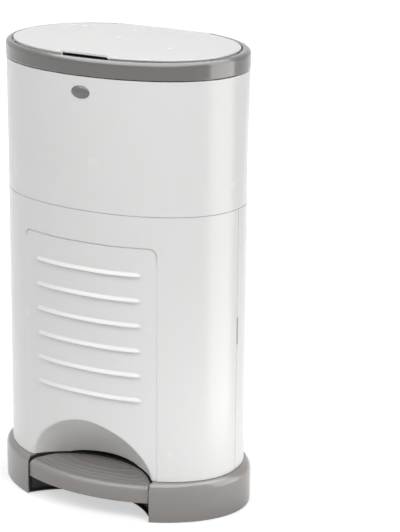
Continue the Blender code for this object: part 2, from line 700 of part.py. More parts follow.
def build_refill(white, refill):
    """The shelf in the upper shell and the refill ring that sits on it."""
    outer = body_oval(SHELF_BOTTOM, WALL + FIT)
    rings = [oval_ring(outer, SHELF_BOTTOM), oval_ring(outer, SHELF_TOP)]
    rings += [oval_ring(SHELF_HOLE, z, y_shift=SHELF_HOLE_Y) for z in (SHELF_TOP, SHELF_BOTTOM)]
    shelf = place("refill_shelf", loft(rings, closed=True), white)
    cut(shelf, rod("Z", (0.0, ROD_Y, 0.57), 0.02, 0.0045, 20), "rod_hole")
    low, high = SHELF_TOP + FIT, REFILL_TOP
    profile = [(REFILL_OUTER, 0.0, low), (REFILL_OUTER, 0.0, high - REFILL_ROUND),
               (REFILL_OUTER, REFILL_ROUND, high), (REFILL_INNER, -REFILL_ROUND, high),
               (REFILL_INNER, 0.0, high - REFILL_ROUND), (REFILL_INNER, 0.0, low)]
    rings = [oval_ring(oval, z, inset, REFILL_Y, 48) for oval, inset, z in profile]
    place("refill_ring", loft(rings, closed=True), refill)


def build_button(grey, dark, steel):
    """The release button with its housing and spring, all along Y."""
    rings = []
    for scale_x, scale_z, y in BUTTON_RINGS:
        outline = ellipse_outline(BUTTON_HALF_WIDTH * scale_x, BUTTON_HALF_HEIGHT * scale_z, BUTTON_Z)
        rings.append([Vector((x, y, z)) for x, z in outline])
    place("release_button", loft(rings), grey, (0.0, BUTTON_FACE_Y, BUTTON_Z))
    housing = place("button_housing", block(
        (-HOUSING_HALF, -0.1252, BUTTON_Z - HOUSING_HALF_HEIGHT),
        (HOUSING_HALF, -0.1050, BUTTON_Z + HOUSING_HALF_HEIGHT)), dark)
    cut(housing, block((-POCKET_HALF, -0.1300, BUTTON_Z - POCKET_HALF_HEIGHT),
                       (POCKET_HALF, -0.1080, BUTTON_Z + POCKET_HALF_HEIGHT)), "pocket")
    spring_start = (0.0, BUTTON_SPRING_BACK_Y - BUTTON_SPRING_LENGTH, BUTTON_Z)
    place("button_spring", coil("Y", spring_start, BUTTON_SPRING_LENGTH, 0.0044, 0.0005, 4.0), steel,
          (0.0, BUTTON_SPRING_BACK_Y, BUTTON_Z))


def arch_half(z, grow=0.0):
    """Half the width of the arch in the door's foot at a height."""
    share = max(0.0, (z - ARCH_FOOT_Z) / (ARCH_RISE + grow))
    return (ARCH_HALF + grow) * max(0.0, 1.0 - share ** ARCH_ROUND) ** (1.0 / ARCH_ROUND)


def arch_back(z, grow=0.0):
    """The deepest point of the scoop at a height, as y on the centre line."""
    share = max(0.0, (z - ARCH_FOOT_Z) / (ARCH_RISE + grow))
    mouth = -body_oval(z)[1]
    return mouth + (ARCH_BACK_Y - mouth + grow) * math.sqrt(max(0.0, 1.0 - share ** 2))


def scoop_arc(z, grow, inset, steps):
    """The scoop's wall at a height: an arc from edge to edge through its deepest point."""
    half = arch_half(z, grow)
    edge = front_y(body_oval(z, inset), half)
    back = arch_back(z, grow)
    sagitta = max(0.0002, back - edge)
    radius = (half ** 2 + sagitta ** 2) / (2.0 * sagitta)
    points = []
    for step in range(steps + 1):
        x = half * math.cos(math.pi * step / steps)
        points.append(Vector((x, edge + sagitta - radius + math.sqrt(radius ** 2 - x ** 2), z)))
    return points


def scoop_heights(grow, rows=9):
    return [ARCH_FOOT_Z + (ARCH_RISE + grow) * math.sin(math.radians(86.5) * row / rows)
            for row in range(rows + 1)]


def scoop_cutter(steps=16):
    rings = []
    for z in [0.0450] + scoop_heights(0.0):
        arc = scoop_arc(z, 0.0, 0.0, steps)
        half = arc[0].x
        rings.append(arc + [Vector((-half, -0.1700, z)), Vector((half, -0.1700, z))])
    return loft(rings)


def scoop_hood(steps=16, front_steps=8):
    """The solid that the scoop is cut from, kept inside the door's outer face."""
    rings = []
    inset = 0.5 * (PANEL_DEPTH + WALL)
    heights = [z for z in scoop_heights(HOOD_WALL) if z > SHELL_BOTTOM + 0.0010]
    for z in [SHELL_BOTTOM + 0.0004] + heights:
        arc = scoop_arc(z, HOOD_WALL, inset, steps)
        half = arc[0].x
        front = []
        for step in range(1, front_steps):
            x = half * (2.0 * step / front_steps - 1.0)
            front.append(Vector((x, front_y(body_oval(z, inset), x), z)))
        rings.append(arc + front)
    return loft(rings)


def rib(z_middle, steps=10):
    """One raised rib across the panel: a long upper slope, a short lower one, pointed ends."""
    rings = []
    for step in range(steps + 1):
        share = math.sin(math.pi * (step / steps - 0.5))
        x = RIB_HALF * share
        taper = max(0.06, (1.0 - abs(share) ** 5.0) ** 0.6)
        half = 0.5 * RIB_HEIGHT * taper
        face = front_y(body_oval(z_middle, PANEL_DEPTH), x)
        proud = RIB_PROUD * taper
        profile = ((face + 0.0010, half), (face - proud * 0.75, half * 0.10),
                   (face - proud, -half * 0.40), (face + 0.0010, -half))
        rings.append([Vector((x, y, z_middle + z)) for y, z in profile])
    return loft(rings)


def build_door(white, dark, steel):
    """The front door with its panel, ribs and scoop, and the catch and liner cutter inside it."""
    door = place("front_door", column_wall(SHELL_BOTTOM, SEAM_LOW), white, DOOR_AXIS)
    outline = ((-0.30, DOOR_AXIS.y), (-0.05, DOOR_AXIS.y), (-0.05, DOOR_SPLIT_Y),
               (0.30, DOOR_SPLIT_Y), (0.30, 0.20), (-0.30, 0.20))
    cut(door, loft([[Vector((x, y, z)) for x, y in outline] for z in (0.0, 0.60)]), "rear_half")
    barrel = rod("Z", (DOOR_AXIS.x, DOOR_AXIS.y, SHELL_BOTTOM + 0.0003),
                 SEAM_LOW - SHELL_BOTTOM - 0.0006, DOOR_BARREL)
    join(door, barrel, "hinge_barrel")
    cut(door, gather(*[rod("Z", (DOOR_AXIS.x, DOOR_AXIS.y, z), 0.0240, DOOR_PIN_BORE, 12)
                       for z in (0.0520, 0.4560)]), "pin_bores")
    panel = cut(door, prism_along_y(rounded_outline(PANEL_HALF, PANEL_BOTTOM, PANEL_TOP, PANEL_CORNER),
                                    -0.1700, -0.0300), "panel")
    cut(panel, loft([oval_ring(body_oval(z, PANEL_DEPTH), z) for z in (0.0200, 0.4600)]), "panel_floor")
    for number in range(RIB_COUNT):
        join(door, rib(RIB_FIRST_Z - RIB_PITCH * number), f"rib_{number + 1}")
    join(door, scoop_hood(), "hood")
    cut(door, scoop_cutter(), "scoop")
    outline = ((0.1660, -0.0340), (0.1800, -0.0340), (0.1838, -0.0220), (0.1685, -0.0220),
               (0.1685, 0.0130), (0.1660, 0.0130))
    catch = loft([[Vector((x, y, z)) for x, y in outline] for z in (CATCH_LOW, CATCH_HIGH)])
    place("door_catch", catch, steel, DOOR_AXIS)
    rings = []
    low, high, steps = CUTTER_LOW, CUTTER_HIGH, 10
    for step in range(steps + 1):
        x = CUTTER_HALF * (2.0 * step / steps - 1.0)
        wall = front_y(body_oval(low, WALL + FIT), x)
        rings.append([Vector((x, wall, low)), Vector((x, wall + CUTTER_DEPTH, low)),
                      Vector((x, wall + CUTTER_DEPTH, high)), Vector((x, wall, high))])
    housing = place("cutter_housing", loft(rings), dark, DOOR_AXIS)
    middle = (low + high) / 2.0
    cut(housing, block((-FILM_SLOT_HALF, -0.1190, middle - FILM_SLOT_GAP / 2.0),
                       (FILM_SLOT_HALF, -0.1000, middle + FILM_SLOT_GAP / 2.0)), "film_slot")
    cut(housing, block((-0.0007, -0.1195, middle - 0.0042), (0.0007, -0.1130, middle + 0.0042)),
        "blade_pocket")
    place("cutter_blade", block((-0.0003, -0.1190, middle - 0.0038), (0.0003, -0.1134, middle + 0.0038)),
          steel, DOOR_AXIS)


def build_top_frame(grey, white, dark, steel):
    """The rim and the hopper, which turn up together on the back hinge."""
    axis = FRAME_AXIS
    body = body_oval(RIM_BOTTOM)
    pocket = (LID_OVAL[0] + LID_SIDE_GAP, LID_OVAL[1] + LID_FRONT_GAP, LID_OVAL[2])
    crest = [oval_ring(body, z, inset) for inset, z in arc_profile(
        RIM_ROUND - RIM_PROUD, RIM_TOP - RIM_ROUND, RIM_ROUND, 0.0, 90.0, 4)]
    crest.append(oval_ring(pocket, RIM_TOP - RIM_INNER_DROP, y_shift=LID_Y))
    for ring in crest:
        for point in ring:
            point.z += RIM_TILT * point.y
    under = ((LEDGE_OVAL, 0.0, LEDGE_TOP), (LEDGE_OVAL, 0.0, LEDGE_BOTTOM), (body, 0.0120, LEDGE_BOTTOM),
             (body, 0.0042, LEDGE_BOTTOM - 0.0050), (body, RIM_WALL, RIM_BOTTOM))
    rings = [oval_ring(body, RIM_BOTTOM, -RIM_PROUD)] + crest
    rings += [oval_ring(pocket, LEDGE_TOP, y_shift=LID_Y)]
    rings += [oval_ring(oval, z, inset) for oval, inset, z in under]
    rim = place("rim", loft(rings, closed=True), grey, axis)
    for side, side_name in SIDE_NAMES:
        for offset, root_y, label in ((-KNUCKLE_OFFSET, 0.1235, "near"), (KNUCKLE_OFFSET, 0.1175, "far")):
            low_x = side * (KNUCKLE_X + offset) - KNUCKLE_HALF
            name = f"{side_name}_{label}"
            join(rim, block((low_x, root_y, 0.6692), (low_x + 2.0 * KNUCKLE_HALF, axis.y, 0.6770)),
                 f"web_{name}")
            join(rim, rod("X", (low_x + 0.0001, axis.y, axis.z), 2.0 * KNUCKLE_HALF - 0.0002,
                          KNUCKLE_RADIUS), f"knuckle_{name}")
    cut(rim, rod("X", (-0.12, axis.y, axis.z), 0.24, PIN_BORE, 12), "hinge_bore")
    lid_axis = LID_AXIS
    cut(rim, block((-TONGUE_HALF - 0.0010, 0.0900, 0.6925), (TONGUE_HALF + 0.0010, 0.1400, 0.7050)),
        "tongue_gap")
    cut(rim, rod("X", (-LID_TROUGH_HALF, lid_axis.y, lid_axis.z), 2.0 * LID_TROUGH_HALF,
                 LID_BARREL + 2.0 * FIT, 24), "lid_trough")
    cut(rim, rod("X", (-0.0640, lid_axis.y, lid_axis.z), 0.1280, PIN_BORE, 12), "lid_pin_bore")
    cut(rim, block((-ROD_SLOT_HALF, 0.0955, 0.6600), (ROD_SLOT_HALF, 0.1165, 0.7050)), "rod_slot")
    cut(rim, block((-SLOT_HALF, SLOT_LEDGE_Y, 0.6800), (SLOT_HALF, -0.1000, 0.7050)), "finger_slot")
    pins = [rod("X", (side * LID_PIN_X - LID_PIN_HALF, lid_axis.y, lid_axis.z), 2.0 * LID_PIN_HALF,
                PIN_RADIUS, 12) for side, _ in SIDE_NAMES]
    place_each("lid_hinge_pin", LEFT_RIGHT, pins, steel, axis)

    outer = [(THROAT, THROAT_BOTTOM), (THROAT, 0.6130), ((0.1040, 0.0760, 3.2), 0.6400),
             ((0.1595, 0.1010, 2.2), FLANGE_BOTTOM), (FLANGE_OVAL, FLANGE_BOTTOM), (FLANGE_OVAL, FLANGE_TOP)]
    throat_inside = (THROAT[0] - HOPPER_WALL, THROAT[1] - HOPPER_WALL, THROAT[2])
    inner = [((0.1590, 0.1000, 2.2), FLANGE_TOP), ((0.1015, 0.0735, 3.2), 0.6410),
             (throat_inside, 0.6140), (throat_inside, THROAT_BOTTOM)]
    rings = [oval_ring(oval, z, y_shift=HOPPER_Y, sides=48) for oval, z in outer + inner]
    hopper = place("hopper", loft(rings, closed=True), white, axis)
    for side, side_name in SIDE_NAMES:
        for end, end_name in ((-1.0, "front"), (1.0, "back")):
            name = f"{side_name}_{end_name}"
            low_y = HOPPER_Y + end * HOPPER_LUG_Y - HOPPER_LUG_HALF
            high_y = low_y + 2.0 * HOPPER_LUG_HALF
            low_x, high_x = sorted((side * 0.0728, side * 0.0796))
            join(hopper, block((low_x, low_y, 0.5908), (high_x, high_y, 0.6100)), f"lug_{name}")
            low_x, high_x = sorted((side * 0.0695, side * 0.0794))
            join(hopper, block((low_x, low_y + 0.0001, 0.6000), (high_x, high_y - 0.0001, 0.6098)),
                 f"lug_root_{name}")
        cut(hopper, rod("Y", (side * FLAP_AXIS_X, -0.08, FLAP_AXIS_Z), 0.16, FLAP_BORE, 12),
            f"flap_bore_{side_name}")
    cut(hopper, block((-ROD_SLOT_HALF, 0.0990, 0.6800), (ROD_SLOT_HALF, 0.1300, 0.6900)), "rod_slot")
    pins = [rod("Y", (side * FLAP_AXIS_X, HOPPER_Y - FLAP_PIN_HALF, FLAP_AXIS_Z), 2.0 * FLAP_PIN_HALF,
                FLAP_PIN_RADIUS, 12) for side, _ in SIDE_NAMES]
    place_each("flap_pin", LEFT_RIGHT, pins, steel, axis)
    springs = []
    for side, _ in SIDE_NAMES:
        springs.append(coil("Y", (side * FLAP_AXIS_X, HOPPER_Y + FLAP_SPRING_Y, FLAP_AXIS_Z), 0.0120,
                            0.0022, 0.0004, 4.0))
    place_each("flap_spring", LEFT_RIGHT, springs, steel, axis)
    spots = oval_ring(SCREW_OVAL, 0.0, y_shift=HOPPER_Y)
    places = [(spots[index].x, spots[index].y) for index in HOPPER_SCREW_SPOTS]
    for item in (hopper, rim):
        holes = gather(*[rod("Z", (x, y, SCREW_START - 0.0002), 0.0090, HOPPER_SCREW_HOLE, 12)
                         for x, y in places])
        cut(item, holes, "screw_holes")
    place_each("hopper_screw", ("back_right", "back_left", "front_left", "front_right"),
               [screw((x, y, SCREW_START), *HOPPER_SCREW) for x, y in places], steel, axis)
    outline = ((-0.1249, 0.6810), (-0.1249, 0.6700), (-0.1215, 0.6680), (-0.1215, 0.6572),
               (-0.1165, 0.6572), (-0.1190, 0.6610), (-0.1190, 0.6810))
    catch = loft([[Vector((x, y, z)) for y, z in outline] for x in (-0.0100, 0.0100)])
    place("frame_catch", catch, dark, axis)


def build_flaps(white):
    """The two flaps that close the hopper's throat."""
    for side, label in SIDE_NAMES:
        axis = Vector((side * FLAP_AXIS_X, HOPPER_Y, FLAP_AXIS_Z))
        plate = loft([[Vector((side * x, HOPPER_Y + y, z)) for x, y in FLAP_OUTLINE]
                      for z in (FLAP_BOTTOM, FLAP_TOP)])
        flap = place(f"trap_flap_{label}", plate, white, axis)
        low_x, high_x = sorted((side * 0.0700, side * FLAP_AXIS_X))
        join(flap, block((low_x, HOPPER_Y - 0.0488, FLAP_BOTTOM - 0.0001),
                         (high_x, HOPPER_Y + 0.0300, FLAP_TOP - 0.0002)), "web")
        join(flap, rod("Y", (axis.x, HOPPER_Y - 0.0490, axis.z), 0.0792, FLAP_BARREL, 20), "barrel")
        low_x, high_x = sorted((side * 0.0080, side * 0.0650))
        for number, rib_y in enumerate(FLAP_RIB_SPOTS, 1):
            join(flap, block((low_x, HOPPER_Y + rib_y - FLAP_RIB_HALF, 0.5915),
                             (high_x, HOPPER_Y + rib_y + FLAP_RIB_HALF, 0.5960)), f"rib_{number}")
        cut(flap, rod("Y", (axis.x, -0.08, axis.z), 0.16, FLAP_BORE, 12), "bore")


def build_lid(white, rubber):
    """The domed lid with its hinge barrels and the finger that the push rod lifts."""
    axis = LID_AXIS

    def crown(scale):
        return LID_EDGE_TOP + LID_DOME * (1.0 - scale ** 2)

    profile = [(s, crown(s) - LID_WALL) for s in (0.04, 0.55, 0.950)]
    profile += [(0.955, LID_SKIRT_BOTTOM), (0.980, LID_SKIRT_BOTTOM), (0.980, LID_PLATE_BOTTOM),
                (0.996, LID_PLATE_BOTTOM), (1.0, LID_PLATE_BOTTOM + 0.0005),
                (1.0, LID_EDGE_TOP - 0.0010), (0.995, LID_EDGE_TOP - 0.0002)]
    profile += [(s, crown(s)) for s in (0.85, 0.60, 0.30, 0.04)]
    half_width, half_depth, roundness = LID_OVAL
    rings = [oval_ring((half_width * s, half_depth * s, roundness), z, y_shift=LID_Y) for s, z in profile]
    lid = place("lid", loft(rings), white, axis)
    join(lid, block((-TONGUE_HALF, 0.0980, LID_PLATE_BOTTOM + 0.0001),
                    (TONGUE_HALF, TONGUE_BACK_Y, LID_EDGE_TOP - 0.0001)), "tongue")
    for side, label in SIDE_NAMES:
        start = side * LID_BARREL_X - LID_BARREL_HALF
        end = start + 2.0 * LID_BARREL_HALF
        join(lid, rod("X", (start, axis.y, axis.z), end - start, LID_BARREL, 20), f"barrel_{label}")
        join(lid, block((start + 0.0001, 0.1120, LID_EDGE_TOP - 0.0060),
                        (end - 0.0001, 0.1200, LID_EDGE_TOP - 0.0014)), f"barrel_web_{label}")
    cut(lid, rod("X", (-0.08, axis.y, axis.z), 0.16, PIN_BORE, 12), "pin_bore")
    tip_y = axis.y - FINGER_REACH * math.cos(FINGER_ANGLE)
    tip_z = axis.z - FINGER_REACH * math.sin(FINGER_ANGLE)
    outline = ((0.0995, 0.6960), (tip_y - FINGER_TIP, tip_z), (tip_y + FINGER_TIP, tip_z), (0.1130, 0.6960))
    join(lid, loft([[Vector((x, y, z)) for y, z in outline] for x in (-0.0035, 0.0035)]), "finger")
    join(lid, rod("X", (-0.0034, tip_y, tip_z), 0.0068, FINGER_TIP, 20), "finger_tip")
    slot_back = LID_Y - LID_OVAL[1] + SLOT_DEPTH
    cut(lid, block((-SLOT_HALF, -0.1400, 0.6700), (SLOT_HALF, slot_back, 0.7200)), "finger_slot")
    profile = ((SEAL_OUTER, SEAL_BOTTOM), (SEAL_OUTER, SEAL_TOP), (SEAL_INNER, SEAL_TOP),
               (SEAL_INNER, SEAL_BOTTOM))
    rings = [oval_ring(oval, z, y_shift=SEAL_Y, sides=48) for oval, z in profile]
    place("lid_seal", loft(rings, closed=True), rubber, axis)


def main():
    clear_scene()
    white = make_material("white_plastic", (0.80, 0.80, 0.79), 0.28)
    grey = make_material("grey_plastic", (0.27, 0.26, 0.24), 0.40)
    dark = make_material("dark_plastic", (0.05, 0.05, 0.05), 0.50)
    refill = make_material("refill_plastic", (0.55, 0.66, 0.72), 0.45)
    rubber = make_material("rubber", (0.03, 0.03, 0.03), 0.85)
    steel = make_material("steel", (0.60, 0.60, 0.60), 0.30, 1.0)
    build_base(grey, rubber, steel)
    build_well_liner(dark)
    build_pedal(grey, dark)
    build_push_rod(steel, dark)
    build_shells(white, dark, steel)
    build_refill(white, refill)
    build_button(grey, dark, steel)
    build_door(white, dark, steel)
    build_top_frame(grey, white, dark, steel)
    build_flaps(white)
    build_lid(white, rubber)


main()
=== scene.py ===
"""The looks of the nappy bin: finer visible pieces, materials, studio light and the camera.

Metres, +Z up. The front faces -Y. Outlines repeat the named values of the part's source, because
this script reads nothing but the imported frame.
"""
import json
import math

import bmesh
import bpy
from mathutils import Matrix, Vector


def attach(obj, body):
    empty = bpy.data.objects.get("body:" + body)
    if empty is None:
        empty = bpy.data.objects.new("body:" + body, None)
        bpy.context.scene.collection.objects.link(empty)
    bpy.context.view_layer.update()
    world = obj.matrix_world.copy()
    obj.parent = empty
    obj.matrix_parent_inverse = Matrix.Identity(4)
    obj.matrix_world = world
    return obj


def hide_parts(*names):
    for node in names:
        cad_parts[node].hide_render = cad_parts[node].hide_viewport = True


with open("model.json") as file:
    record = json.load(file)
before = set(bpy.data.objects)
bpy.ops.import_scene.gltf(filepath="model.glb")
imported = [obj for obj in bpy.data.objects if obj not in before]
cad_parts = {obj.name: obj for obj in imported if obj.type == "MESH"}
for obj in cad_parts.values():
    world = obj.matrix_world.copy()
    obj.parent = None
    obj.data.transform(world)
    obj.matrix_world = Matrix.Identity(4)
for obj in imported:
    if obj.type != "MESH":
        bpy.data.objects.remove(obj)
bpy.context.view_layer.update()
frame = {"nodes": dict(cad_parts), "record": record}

# Camera of the photograph: its place, its three axes and its lens in mm
CAMERA_AT = Vector((1.4889, -2.5059, 1.2609))
CAMERA_RIGHT = Vector((0.87673, 0.48086, 0.0107))
CAMERA_UP = Vector((-0.152, 0.25588, 0.95468))
CAMERA_BACK = Vector((0.45633, -0.83863, 0.29743))
CAMERA_LENS = 136.94
SENSOR_WIDTH = 36.0

# Body column. An oval is (half width, half depth, roundness), where a roundness of 2 is an ellipse.
BODY_LOW = (0.1908, 0.1223, 2.16)
BODY_HIGH = (0.1895, 0.1296, 2.12)
BODY_LOW_Z = 0.070
BODY_HIGH_Z = 0.670
WALL = 0.0030
DOOR_WALL = 0.0026
SHELL_EDGE = 0.0010
UPPER_EDGE = 0.0012
SHELL_BOTTOM = 0.0627
SEAM_LOW = 0.4698
SEAM_HIGH = 0.4705
SHELL_TOP = 0.6666
DOOR_SPLIT_Y = -0.0045
SPLIT_GAP = 0.0016
DOOR_AXIS = Vector((-0.1845, -0.0105, 0.0))
DOOR_MIDDLE_Z = 0.27
BARREL_RADIUS = 0.0055
NOTCH_BOTTOM = 0.2620
NOTCH_TOP = 0.3040
NOTCH_Y = 0.0002
NOTCH_COLUMNS = 5

# Base
BASE_OVAL = (0.2040, 0.1385, 1.96)
BASE_LIFT = 0.0010
BASE_FOOT_ROUND = 0.0012
BASE_EDGE = 0.0007
SKIRT_TOP = 0.0622
SHOULDER = 0.0117
DECK_BOTTOM = 0.0580
DECK_TOP = 0.0608
ROD_HOLE_Y = 0.1058
ROD_HOLE_RADIUS = 0.0072
WELL_HALF = 0.1067
WELL_BACK_Y = -0.0500
WELL_RADIUS = 0.1305
WELL_LIP_BOTTOM = 0.0465
WELL_LIP_WALL = 0.0025

# Pedal. Distances over the tread are measured from the pedal's front edge.
PEDAL_HALF = 0.1047
PEDAL_INSET = 0.0030
PEDAL_BOTTOM = 0.0300
PEDAL_TOP = 0.0565
PEDAL_GAP = 0.0030
PEDAL_SHOULDER = 0.0090
PEDAL_END = 0.0060
PEDAL_END_DROP = 0.0048
PEDAL_DISH = 0.0030
PEDAL_REAR_LIFT = 0.0036
PEDAL_WALL = 0.0030
PEDAL_COLUMNS = 150
TREAD_FROM = 0.014
TREAD_GROWTH = 0.034
RIDGES = (0.0200, 0.0320, 0.0440, 0.0560)
RIDGE_HALF = 0.0026
RIDGE_HEIGHT = 0.0011
RIDGE_STEPS = [middle + RIDGE_HALF * share / 4.0 for middle in RIDGES for share in range(-4, 5)]
TREAD_STEPS = sorted(RIDGE_STEPS + [0.0095, 0.0110, 0.0130, 0.0155, 0.0260, 0.0380, 0.0500, 0.0620,
                                    0.0650, 0.0680, 0.0710, 0.0740, 0.0770])

# Door panel
PANEL_HALF = 0.1115
PANEL_TOP = 0.4225
PANEL_CORNER = 0.0110
PANEL_DEPTH = 0.0016
PANEL_STEP = 0.0020
PANEL_SOFT_LEFT = 0.0060
PANEL_SOFT_RIGHT = 0.0032
GROOVE_DEPTH = 0.0014
GROOVE_HALF = 0.0017
GROOVE_INSIDE = 0.0004
GROOVE_FADE_LEFT = 0.0080
GROOVE_FADE_RIGHT = 0.0200
GROOVE_SIDE_SHARE = 0.15

# Door ribs
RIB_COUNT = 6
RIB_FIRST_Z = 0.3815
RIB_PITCH = 0.0385
RIB_HALF = 0.0892
RIB_END = 0.0070
RIB_END_SHARE = 0.15
RIB_PROUD = 0.0040
RIB_CREST = -0.0014
RIB_UPPER = 0.0060
RIB_LOWER = 0.0026

# Arch and scoop in the door's foot, and the patch of skin around them
ARCH_HALF = 0.1045
ARCH_FOOT_Z = 0.0580
ARCH_RISE = 0.0843
ARCH_ROUND = 1.8
ARCH_BACK_Y = -0.0520
ARCH_FILLET = 0.0042
PATCH_TOP = 0.1600
PATCH_STEPS = 26
FILLET_STEPS = 7
SCOOP_STEPS = 26
SCOOP_FOOT = 0.55

# Rim
RIM_BOTTOM = 0.6680
RIM_TOP = 0.6945
RIM_TILT = 0.0155
RIM_ROUND = 0.0068
RIM_FOOT_ROUND = 0.0015
RIM_INNER_DROP = 0.0003
RIM_PROUD = 0.0010
LEDGE_OVAL = (0.1660, 0.1060, 2.15)
LEDGE_TOP = 0.6900
LEDGE_BOTTOM = 0.6870
CUT_TOP = 0.7050

# Lid
LID_OVAL = (0.1755, 0.1188, 2.20)
LID_Y = -0.0025
LID_SIDE_GAP = 0.0030
LID_FRONT_GAP = 0.0016
LID_AXIS = Vector((0.0, 0.1190, 0.6900))
LID_EDGE_TOP = 0.6968
LID_DOME = 0.0040
LID_WALL = 0.0028
LID_PLATE_BOTTOM = 0.6941
LID_SKIRT_BOTTOM = 0.6906
TONGUE_HALF = 0.0805
TONGUE_FRONT_Y = 0.0960
TONGUE_BACK_Y = 0.1158
SLOT_HALF = 0.0385
SLOT_DEPTH = 0.0080
SLOT_LEDGE_Y = -0.1080
SLOT_RAMP = ((-0.1228, LEDGE_TOP - 0.0005), (-0.1228, 0.6918), (-0.1200, 0.6917),
             (-0.1125, 0.6903), (-0.1110, LEDGE_TOP - 0.0005))
LID_BARREL_X = 0.0307
LID_BARREL_LENGTH = 0.0376
BARREL_CHANNEL_HALF = 0.0503
BARREL_CHANNEL_RADIUS = 0.0063
FINGER_HALF = 0.0035
FINGER_REACH = 0.0150
FINGER_ANGLE = math.radians(40.0)
FINGER_TIP = 0.0020
FINGER_TOP = 0.6960

# Back hinge of the top frame: the rim's knuckles and the shell's lugs
HINGE_X = 0.0610
HINGE_Y = 0.1350
HINGE_Z = 0.6678
HINGE_RADIUS = 0.0035
KNUCKLE_LENGTH = 0.0112
KNUCKLE_HEIGHTS = (0.6692, 0.6770)
KNUCKLES = (("in", -0.0152, 0.1235), ("out", 0.0152, 0.1175))
LUG_LENGTH = 0.0180
LUG_HEIGHTS = (0.6540, 0.6668)
LUG_ROOT_Y = 0.1195

# Button. Its face is rings of (scale, y).
BUTTON_Z = 0.6437
BUTTON_HALF = (0.0148, 0.0090)
BUTTON_CLEARANCE = 0.0004
BUTTON_FACE = ((0.04, -0.1321), (0.20, -0.13195), (0.40, -0.1315), (0.60, -0.1309),
               (0.78, -0.1302), (0.90, -0.1296), (0.97, -0.1291), (1.0, -0.1285), (1.0, -0.1240))

# Points round an oval, the rounding of small edges, and the angles above which an edge is sharp
FINE = 224
FINE_EDGE = 0.0004
CREASE = 40.0
BUTTON_CREASE = 50.0
SHELL_CREASE = 60.0

# Floor and world
FLOOR_HALF = 6.0
FLOOR_TONE = 0.65
FLOOR_GLOW = 0.56
GLOW_FROM = 0.20
GLOW_FULL = 0.42
WORLD_LIGHT = 0.22


def span(first, last, count):
    """Evenly spaced values, both ends included."""
    return [first + (last - first) * step / count for step in range(count + 1)]


def smooth(value):
    """A soft step from 0 to 1."""
    value = min(1.0, max(0.0, value))
    return value * value * (3.0 - 2.0 * value)


def signed_power(value, power):
    """A power that keeps the value's sign."""
    return math.copysign(abs(value) ** power, value)


def body_oval(z, inset=0.0):
    """The column's oval at a height, drawn in by an inset."""
    share = (z - BODY_LOW_Z) / (BODY_HIGH_Z - BODY_LOW_Z)
    return (BODY_LOW[0] + (BODY_HIGH[0] - BODY_LOW[0]) * share - inset,
            BODY_LOW[1] + (BODY_HIGH[1] - BODY_LOW[1]) * share - inset,
            BODY_LOW[2] + (BODY_HIGH[2] - BODY_LOW[2]) * share)


def body_point(angle, z):
    """A point of the column: angle 0 is the front, positive to the right."""
    half_width, half_depth, roundness = body_oval(z)
    return Vector((half_width * signed_power(math.sin(angle), 2.0 / roundness),
                   -half_depth * signed_power(math.cos(angle), 2.0 / roundness), z))


def front_y(oval, x, inset=0.0):
    """y of an oval's front at x."""
    half_width, half_depth, roundness = oval
    share = min(1.0, abs(x) / (half_width - inset))
    return -(half_depth - inset) * (1.0 - share ** roundness) ** (1.0 / roundness)


def oval_ring(oval, z, inset=0.0, y_shift=0.0):
    """An oval as a ring of points at one height."""
    half_width, half_depth, roundness = oval
    ring = []
    for step in range(FINE):
        angle = 2.0 * math.pi * step / FINE
        ring.append(Vector(((half_width - inset) * signed_power(math.cos(angle), 2.0 / roundness),
                            (half_depth - inset) * signed_power(math.sin(angle), 2.0 / roundness)
                            + y_shift, z)))
    return ring


def arc(centre_inset, centre_z, radius, first, last, steps):
    """Points of an arc as (inset, height): 0 degrees is straight out, 90 straight up."""
    angles = [math.radians(angle) for angle in span(first, last, steps)]
    return [(centre_inset - radius * math.cos(a), centre_z + radius * math.sin(a)) for a in angles]


def piece(name, bm, material, body, stands_for=(), sharp=35.0, fix_normals=True):
    """Turn a bmesh into a finished piece that rides on a body and stands for CAD nodes."""
    if fix_normals:
        bmesh.ops.recalc_face_normals(bm, faces=bm.faces)
    mesh = bpy.data.meshes.new(name)
    bm.to_mesh(mesh)
    bm.free()
    mesh.shade_smooth()
    mesh.set_sharp_from_angle(angle=math.radians(sharp))
    item = bpy.data.objects.new(name, mesh)
    bpy.context.scene.collection.objects.link(item)
    mesh.materials.append(material)
    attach(item, body)
    if stands_for:
        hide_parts(*stands_for)
    return item


def skin(bm, made, closed=False):
    """Quads between rows of vertices. Closed rows join their own ends."""
    count = len(made[0])
    for low, high in zip(made, made[1:]):
        for i in range(count if closed else count - 1):
            j = (i + 1) % count
            bm.faces.new((low[i], low[j], high[j], high[i]))


def tube(rings):
    """An open surface through closed rings."""
    bm = bmesh.new()
    skin(bm, [[bm.verts.new(point) for point in ring] for ring in rings], True)
    return bm


def loft(rings, closed=False):
    """A solid through closed rings, capped, or joined end to end when closed."""
    bm = bmesh.new()
    made = [[bm.verts.new(point) for point in ring] for ring in rings]
    skin(bm, made, True)
    if closed:
        skin(bm, [made[-1], made[0]], True)
    else:
        bm.faces.new(list(reversed(made[0])))
        bm.faces.new(made[-1])
    return bm


def extrude_x(outline, half):
    """A solid with an outline of (y, z), as wide on either side of the middle."""
    return loft([[Vector((x, y, z)) for y, z in outline] for x in (-half, half)])


def extrude_z(outline, low, high):
    """A solid with an outline of (x, y), between two heights."""
    return loft([[Vector((x, y, z)) for x, y in outline] for z in (low, high)])


def block(low, high):
    """A box between two corners."""
    low, high = Vector(low), Vector(high)
    bm = bmesh.new()
    matrix = Matrix.Translation((low + high) / 2.0) @ Matrix.Diagonal((*(high - low), 1.0))
    bmesh.ops.create_cube(bm, size=1.0, matrix=matrix)
    return bm


AXIS_TURN = {"X": Matrix.Rotation(math.radians(90.0), 4, "Y"), "Z": Matrix.Identity(4)}


